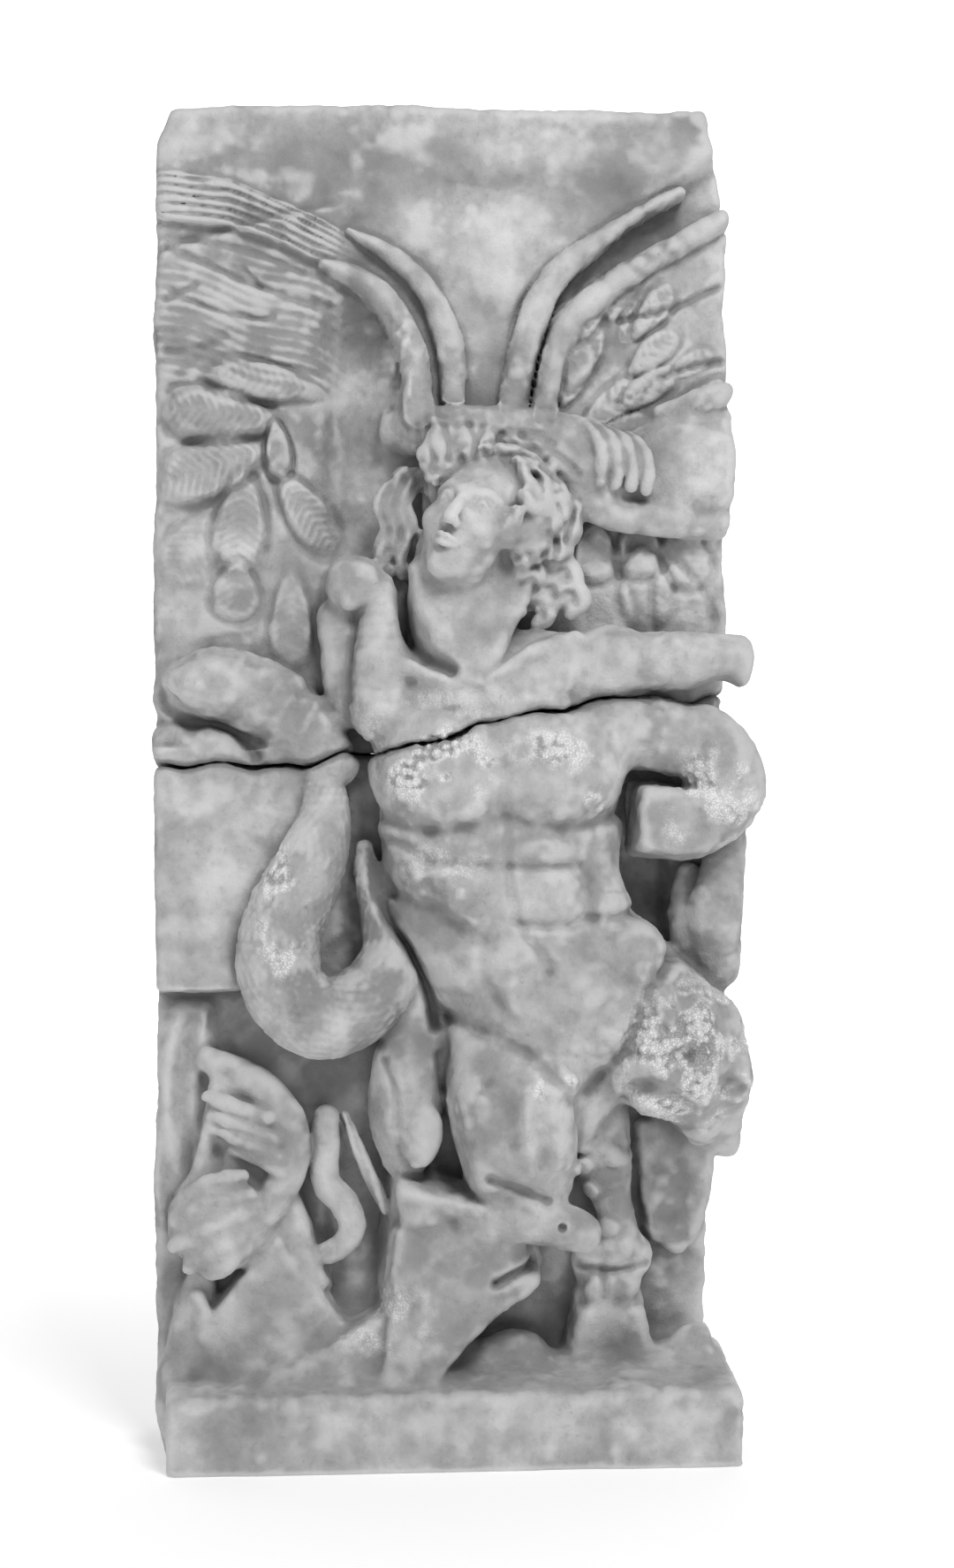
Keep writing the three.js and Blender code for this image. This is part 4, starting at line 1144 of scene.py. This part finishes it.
def weather(mesh):
    # wears the surface: soft hollows, pits and grain, less on the plain back and underside
    points, normals = pointsOf(mesh), normalsOf(mesh)
    x, y, z = points.T
    wear = carving["wear"]
    relief = 1.0 * stoneGrit.layered(x, y, z, 0.070, 3) + 0.8 * edgeGrit.layered(x, y, z, 0.028, 3)
    raw = rawness(points)
    chipped = soft(stoneGrit.layered(x, y, z + 4, 0.085, 3), 0.10, 0.55)
    chips = (0.5 - np.minimum(crystals(points + 1.7, 0.026), 1)) * chipped
    grains = 0.55 - np.minimum(crystals(points, 0.016), 1)
    sugar = 0.5 - np.minimum(crystals(points + 3.3, 0.008), 1)
    plain = soft(-y, -0.19, -0.17) * soft(z, 0.002, 0.010)
    shift = wear * (relief + 2.2 * chips) + raw * (0.0150 * grains + 0.0036 * sugar - 0.0030)
    moved = points + normals * (shift * plain)[:, None]
    mesh.vertices.foreach_set("co", moved.astype(np.float32).ravel())
    mesh.update()


def select(obj):
    bpy.ops.object.select_all(action="DESELECT")
    obj.select_set(True)
    bpy.context.view_layer.objects.active = obj


def applyModifier(obj, kind, **settings):
    select(obj)
    modifier = obj.modifiers.new(kind.lower(), kind)
    for key, value in settings.items():
        setattr(modifier, key, value)
    bpy.ops.object.modifier_apply(modifier=modifier.name)


def carve(name, low, high, upper):
    clay = Clay(low, high, carving["step"])
    sculpt(clay)
    print(name, "modelled", clay.dist.shape)
    stone = (clay.dist < 0).astype(np.float32)
    # solid share at fine scale, later used for grime with painted shade in hollows and for paler ridges
    fine = boxBlur(stone, max(int(0.012 / clay.step), 1))
    # solid share at broad scale, later used for painted shade with dirt in broad recesses
    broad = boxBlur(stone, max(int(0.045 / clay.step), 2))
    breakAcross(clay, upper)
    mesh = meshOf(name, clay)
    weather(mesh)
    piece = bpy.data.objects.new(name, mesh)
    bpy.context.scene.collection.objects.link(piece)
    select(piece)
    bpy.ops.object.mode_set(mode="EDIT")
    bpy.ops.mesh.select_all(action="SELECT")
    bpy.ops.mesh.normals_make_consistent(inside=False)
    bpy.ops.mesh.quads_convert_to_tris()
    bpy.ops.object.mode_set(mode="OBJECT")
    faces = len(piece.data.polygons)
    if faces > carving["triangles"]:
        applyModifier(piece, "DECIMATE", ratio=carving["triangles"] / faces)
    print(name, faces, "faces, kept", len(piece.data.polygons))
    points = pointsOf(piece.data) + normalsOf(piece.data) * 0.002
    found = {"hollow": sampled(clay, fine, points), "shelter": sampled(clay, broad, points),
        "raw": rawness(points),
             "stain": stains_and_painted_light(points)}
    for label, values in found.items():
        layer = piece.data.attributes.new(label, "FLOAT", "POINT")
        layer.data.foreach_set("value", values.astype(np.float32))
    select(piece)
    bpy.ops.object.shade_smooth()
    return piece


# shader maths
class Wire:
    # a node's output that can be used in plain arithmetic
    def __init__(self, maker, socket):
        self.maker, self.socket = maker, socket

    def join(self, operation, other, reflected=False):
        pair = (other, self) if reflected else (self, other)
        return self.maker.node("ShaderNodeMath", {"operation": operation}, dict(enumerate(pair)))

    def __add__(self, other):
        return self.join("ADD", other)

    def __sub__(self, other):
        return self.join("SUBTRACT", other)

    def __mul__(self, other):
        return self.join("MULTIPLY", other)

    def __truediv__(self, other):
        return self.join("DIVIDE", other)

    def __radd__(self, other):
        return self.join("ADD", other, True)

    def __rsub__(self, other):
        return self.join("SUBTRACT", other, True)

    def __rmul__(self, other):
        return self.join("MULTIPLY", other, True)


class Finish:
    # builds one material's nodes
    def __init__(self, name):
        self.material = bpy.data.materials.new(name)
        self.material.use_nodes = True
        self.tree = self.material.node_tree
        self.shader = self.tree.nodes["Principled BSDF"]

    def feed(self, socket, value):
        if isinstance(value, Wire):
            self.tree.links.new(value.socket, socket)
        else:
            socket.default_value = value

    def node(self, kind, settings={}, inputs={}, output=0):
        made = self.tree.nodes.new(kind)
        for key, value in settings.items():
            if key == "stops":
                ramp = made.color_ramp
                while len(ramp.elements) < len(value):
                    ramp.elements.new(0.5)
                for element, (place, colour) in zip(ramp.elements, value):
                    element.position = place
                    element.color = colour
            else:
                setattr(made, key, value)
        for key, value in inputs.items():
            self.feed(made.inputs[key], value)
        return Wire(self, made.outputs[output])

    def grain(self, place, scale, detail=4, roughness=0.55):
        return self.node(
            "ShaderNodeTexNoise", {}, {"Vector": place, "Scale": scale, "Detail": detail,
                "Roughness": roughness})

    def between(self, value, low, high, lowResult=0.0, highResult=1.0):
        return self.node(
            "ShaderNodeMapRange", {"interpolation_type": "SMOOTHSTEP"},
            {"Value": value, "From Min": low, "From Max": high, "To Min": lowResult, "To Max": highResult})

    def mixed(self, share, first, second, blend="MIX"):
        mix = self.tree.nodes.new("ShaderNodeMix")
        mix.data_type = "RGBA"
        mix.blend_type = blend
        self.feed(mix.inputs["Factor"], share)
        self.feed(mix.inputs[6], first)
        self.feed(mix.inputs[7], second)
        return Wire(self, mix.outputs[2])


def grey(value, warmth=0.0):
    return (value * (1 + warmth), value, value * (1 - warmth), 1)


def marbleFinish():
    made = Finish("marble")
    place = made.node("ShaderNodeTexCoord", {}, {}, "Object")
    hollow = made.node("ShaderNodeAttribute", {"attribute_name": "hollow"}, {}, "Fac")
    shelter = made.node("ShaderNodeAttribute", {"attribute_name": "shelter"}, {}, "Fac")
    raw = made.node("ShaderNodeAttribute", {"attribute_name": "raw"}, {}, "Fac")
    stain = made.node("ShaderNodeAttribute", {"attribute_name": "stain"}, {}, "Fac")
    clouds = made.grain(place, 4.0, 6, 0.62)
    stains = made.grain(made.node("ShaderNodeVectorMath", {"operation": "ADD"},
        {0: place, 1: (3.1, 0.7, 5.9)}, "Vector"),
                        7.5, 5, 0.58)
    blotches = made.grain(place, 19.0, 4, 0.6)
    specks = made.grain(place, 85.0, 3, 0.7)
    crystals = made.node("ShaderNodeTexVoronoi", {"feature": "F1"}, {"Vector": place, "Scale": 260.0},
        "Distance")

    pale = made.mixed(made.between(clouds, 0.36, 0.64), grey(0.33), grey(0.54))
    # the stain attribute mixes real stains with painted highlights on lit forms (paler) and painted shade in
    # recesses (darker)
    pale = made.mixed(made.between(stain, 0.50, 0.0) * 0.55, pale, grey(0.76))
    pale = made.mixed(made.between(stain, 0.50, 1.0) * 0.65, pale, grey(0.15))
    pale = made.mixed(made.between(stains, 0.42, 0.70) * 0.50, pale, grey(0.24))
    pale = made.mixed(made.between(blotches, 0.38, 0.70) * 0.40, pale, grey(0.22))
    pale = made.mixed(made.between(specks, 0.52, 0.72) * 0.30, pale, grey(0.22))
    # ridges paler: wear together with a painted highlight on the raised forms
    wear_and_painted_highlight = made.between(hollow, 0.44, 0.26)
    pale = made.mixed(wear_and_painted_highlight * 0.50, pale, grey(0.74))
    sugar = made.between(raw, 0.05, 0.6) * made.between(crystals, 0.20, 0.60, 1.0, 0.45)
    pale = made.mixed(sugar * 0.90, pale, grey(0.95))
    # dark in fine hollows: grime together with painted shade
    grime_and_painted_shade = made.between(hollow, 0.46, 0.62) * made.between(blotches, 0.25, 0.65, 1.0, 0.6)
    pale = made.mixed(grime_and_painted_shade * 0.72, pale, grey(0.14))
    # darker in broad recesses: painted shade together with dirt
    dirt_and_painted_shade_in_recesses = made.between(shelter, 0.52, 0.74) * made.between(clouds, 0.3, 0.7, 1.0, 0.7)
    pale = made.mixed(dirt_and_painted_shade_in_recesses * 0.62, pale, grey(0.12))
    made.feed(made.shader.inputs["Base Color"], pale)
    made.feed(made.shader.inputs["Roughness"], made.between(blotches, 0.3, 0.7, 0.62, 0.88))
    made.shader.inputs["Specular IOR Level"].default_value = 0.35

    height = specks * 0.5 + blotches * 0.8 + crystals * (0.25 + raw * 1.2)
    bump = made.node("ShaderNodeBump", {}, {"Strength": 0.55, "Distance": 0.004, "Height": height}, "Normal")
    made.feed(made.shader.inputs["Normal"], bump)
    return made.material


marble = marbleFinish()
reach = carving["margin"]
fragments = [
    ("relief_upper", "upper_fragment", carving["lowestBreak"], slab["top"] + reach, True),
    ("relief_lower", "lower_fragment", -reach, carving["highestBreak"], False),
]
for name, node, bottom, top, upper in fragments:
    low = (cadLow.x - reach, cadLow.y - reach, bottom)
    high = (cadHigh.x + reach, cadHigh.y + reach, top)
    piece = carve(name, low, high, upper)
    piece.data.materials.append(marble)
    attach(piece, "root")
    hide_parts(node)

# studio
studio = {
    "distance": 5.0,
    "azimuth": -5.0,
    "aim": (0.040, 0.0, 1.140),
    "perRow": 0.0015234,  # metres at the field for one row of the frame
    "rows": 1775,
}


def floorAndWall():
    bpy.ops.object.select_all(action="DESELECT")
    bpy.ops.mesh.primitive_plane_add(size=30, location=(0, -5, 0))
    floor = bpy.context.object
    floor.name = "floor"
    bpy.ops.object.transform_apply(location=True)
    bpy.ops.object.mode_set(mode="EDIT")
    bpy.ops.mesh.select_mode(type="EDGE")
    bpy.ops.object.mode_set(mode="OBJECT")
    for thing in (*floor.data.vertices, *floor.data.polygons):
        thing.select = False
    for edge in floor.data.edges:
        edge.select = all(floor.data.vertices[i].co.y > 9 for i in edge.vertices)
    bpy.ops.object.mode_set(mode="EDIT")
    bpy.ops.mesh.extrude_region_move(TRANSFORM_OT_translate={"value": (0, 0, 14)})
    bpy.ops.object.mode_set(mode="OBJECT")
    for thing in (*floor.data.vertices, *floor.data.polygons):
        thing.select = False
    for edge in floor.data.edges:
        ends = [floor.data.vertices[i].co for i in edge.vertices]
        edge.select = all(co.y > 9 and co.z < 0.1 for co in ends)
    bpy.ops.object.mode_set(mode="EDIT")
    bpy.ops.mesh.bevel(offset=4.0, segments=16)
    bpy.ops.object.mode_set(mode="OBJECT")
    bpy.ops.object.shade_smooth()
    made = Finish("studio_white")
    made.shader.inputs["Base Color"].default_value = grey(0.9)
    made.shader.inputs["Roughness"].default_value = 1.0
    made.shader.inputs["Specular IOR Level"].default_value = 0.0
    made.shader.inputs["Emission Color"].default_value = grey(1.0)
    made.shader.inputs["Emission Strength"].default_value = 0.30
    floor.data.materials.append(made.material)


def lamp(name, place, target, size, power):
    light = bpy.data.lights.new(name, "AREA")
    light.shape = "SQUARE"
    light.size = size
    light.energy = power
    obj = bpy.data.objects.new(name, light)
    bpy.context.scene.collection.objects.link(obj)
    direction = np.array(target) - np.array(place)
    obj.location = place
    obj.rotation_euler = mathVector(direction).to_track_quat("-Z", "Y").to_euler()
    return obj


def mathVector(values):
    return type(cadLow)(values)


def camera():
    angle = math.radians(studio["azimuth"])
    aim = np.array(studio["aim"])
    place = aim + studio["distance"] * np.array([math.sin(angle), -math.cos(angle), 0])
    data = bpy.data.cameras.new("camera")
    data.sensor_fit = "VERTICAL"
    data.sensor_height = 24
    data.lens = 24 * studio["distance"] / (studio["rows"] * studio["perRow"])
    obj = bpy.data.objects.new("camera", data)
    bpy.context.scene.collection.objects.link(obj)
    obj.location = place
    obj.rotation_euler = mathVector(aim - place).to_track_quat("-Z", "Y").to_euler()
    bpy.context.scene.camera = obj


floorAndWall()
lamp("key", (1.2, -4.4, 5.4), (0, 0, 1.1), 1.8, 210)
lamp("fill", (-3.4, -4.5, 2.2), (0, 0, 1.0), 3.0, 14)
lamp("backdrop", (0, 4.0, 7.0), (0, 10.0, 3.0), 5.0, 500)
camera()
world = bpy.data.worlds.new("studio")
world.use_nodes = True
world.node_tree.nodes["Background"].inputs["Color"].default_value = grey(1.0)
world.node_tree.nodes["Background"].inputs["Strength"].default_value = 0.34
bpy.context.scene.world = world
bpy.context.scene.view_settings.view_transform = "Standard"

print("cad box", [round(v, 3) for v in (*cadLow, *cadHigh)])
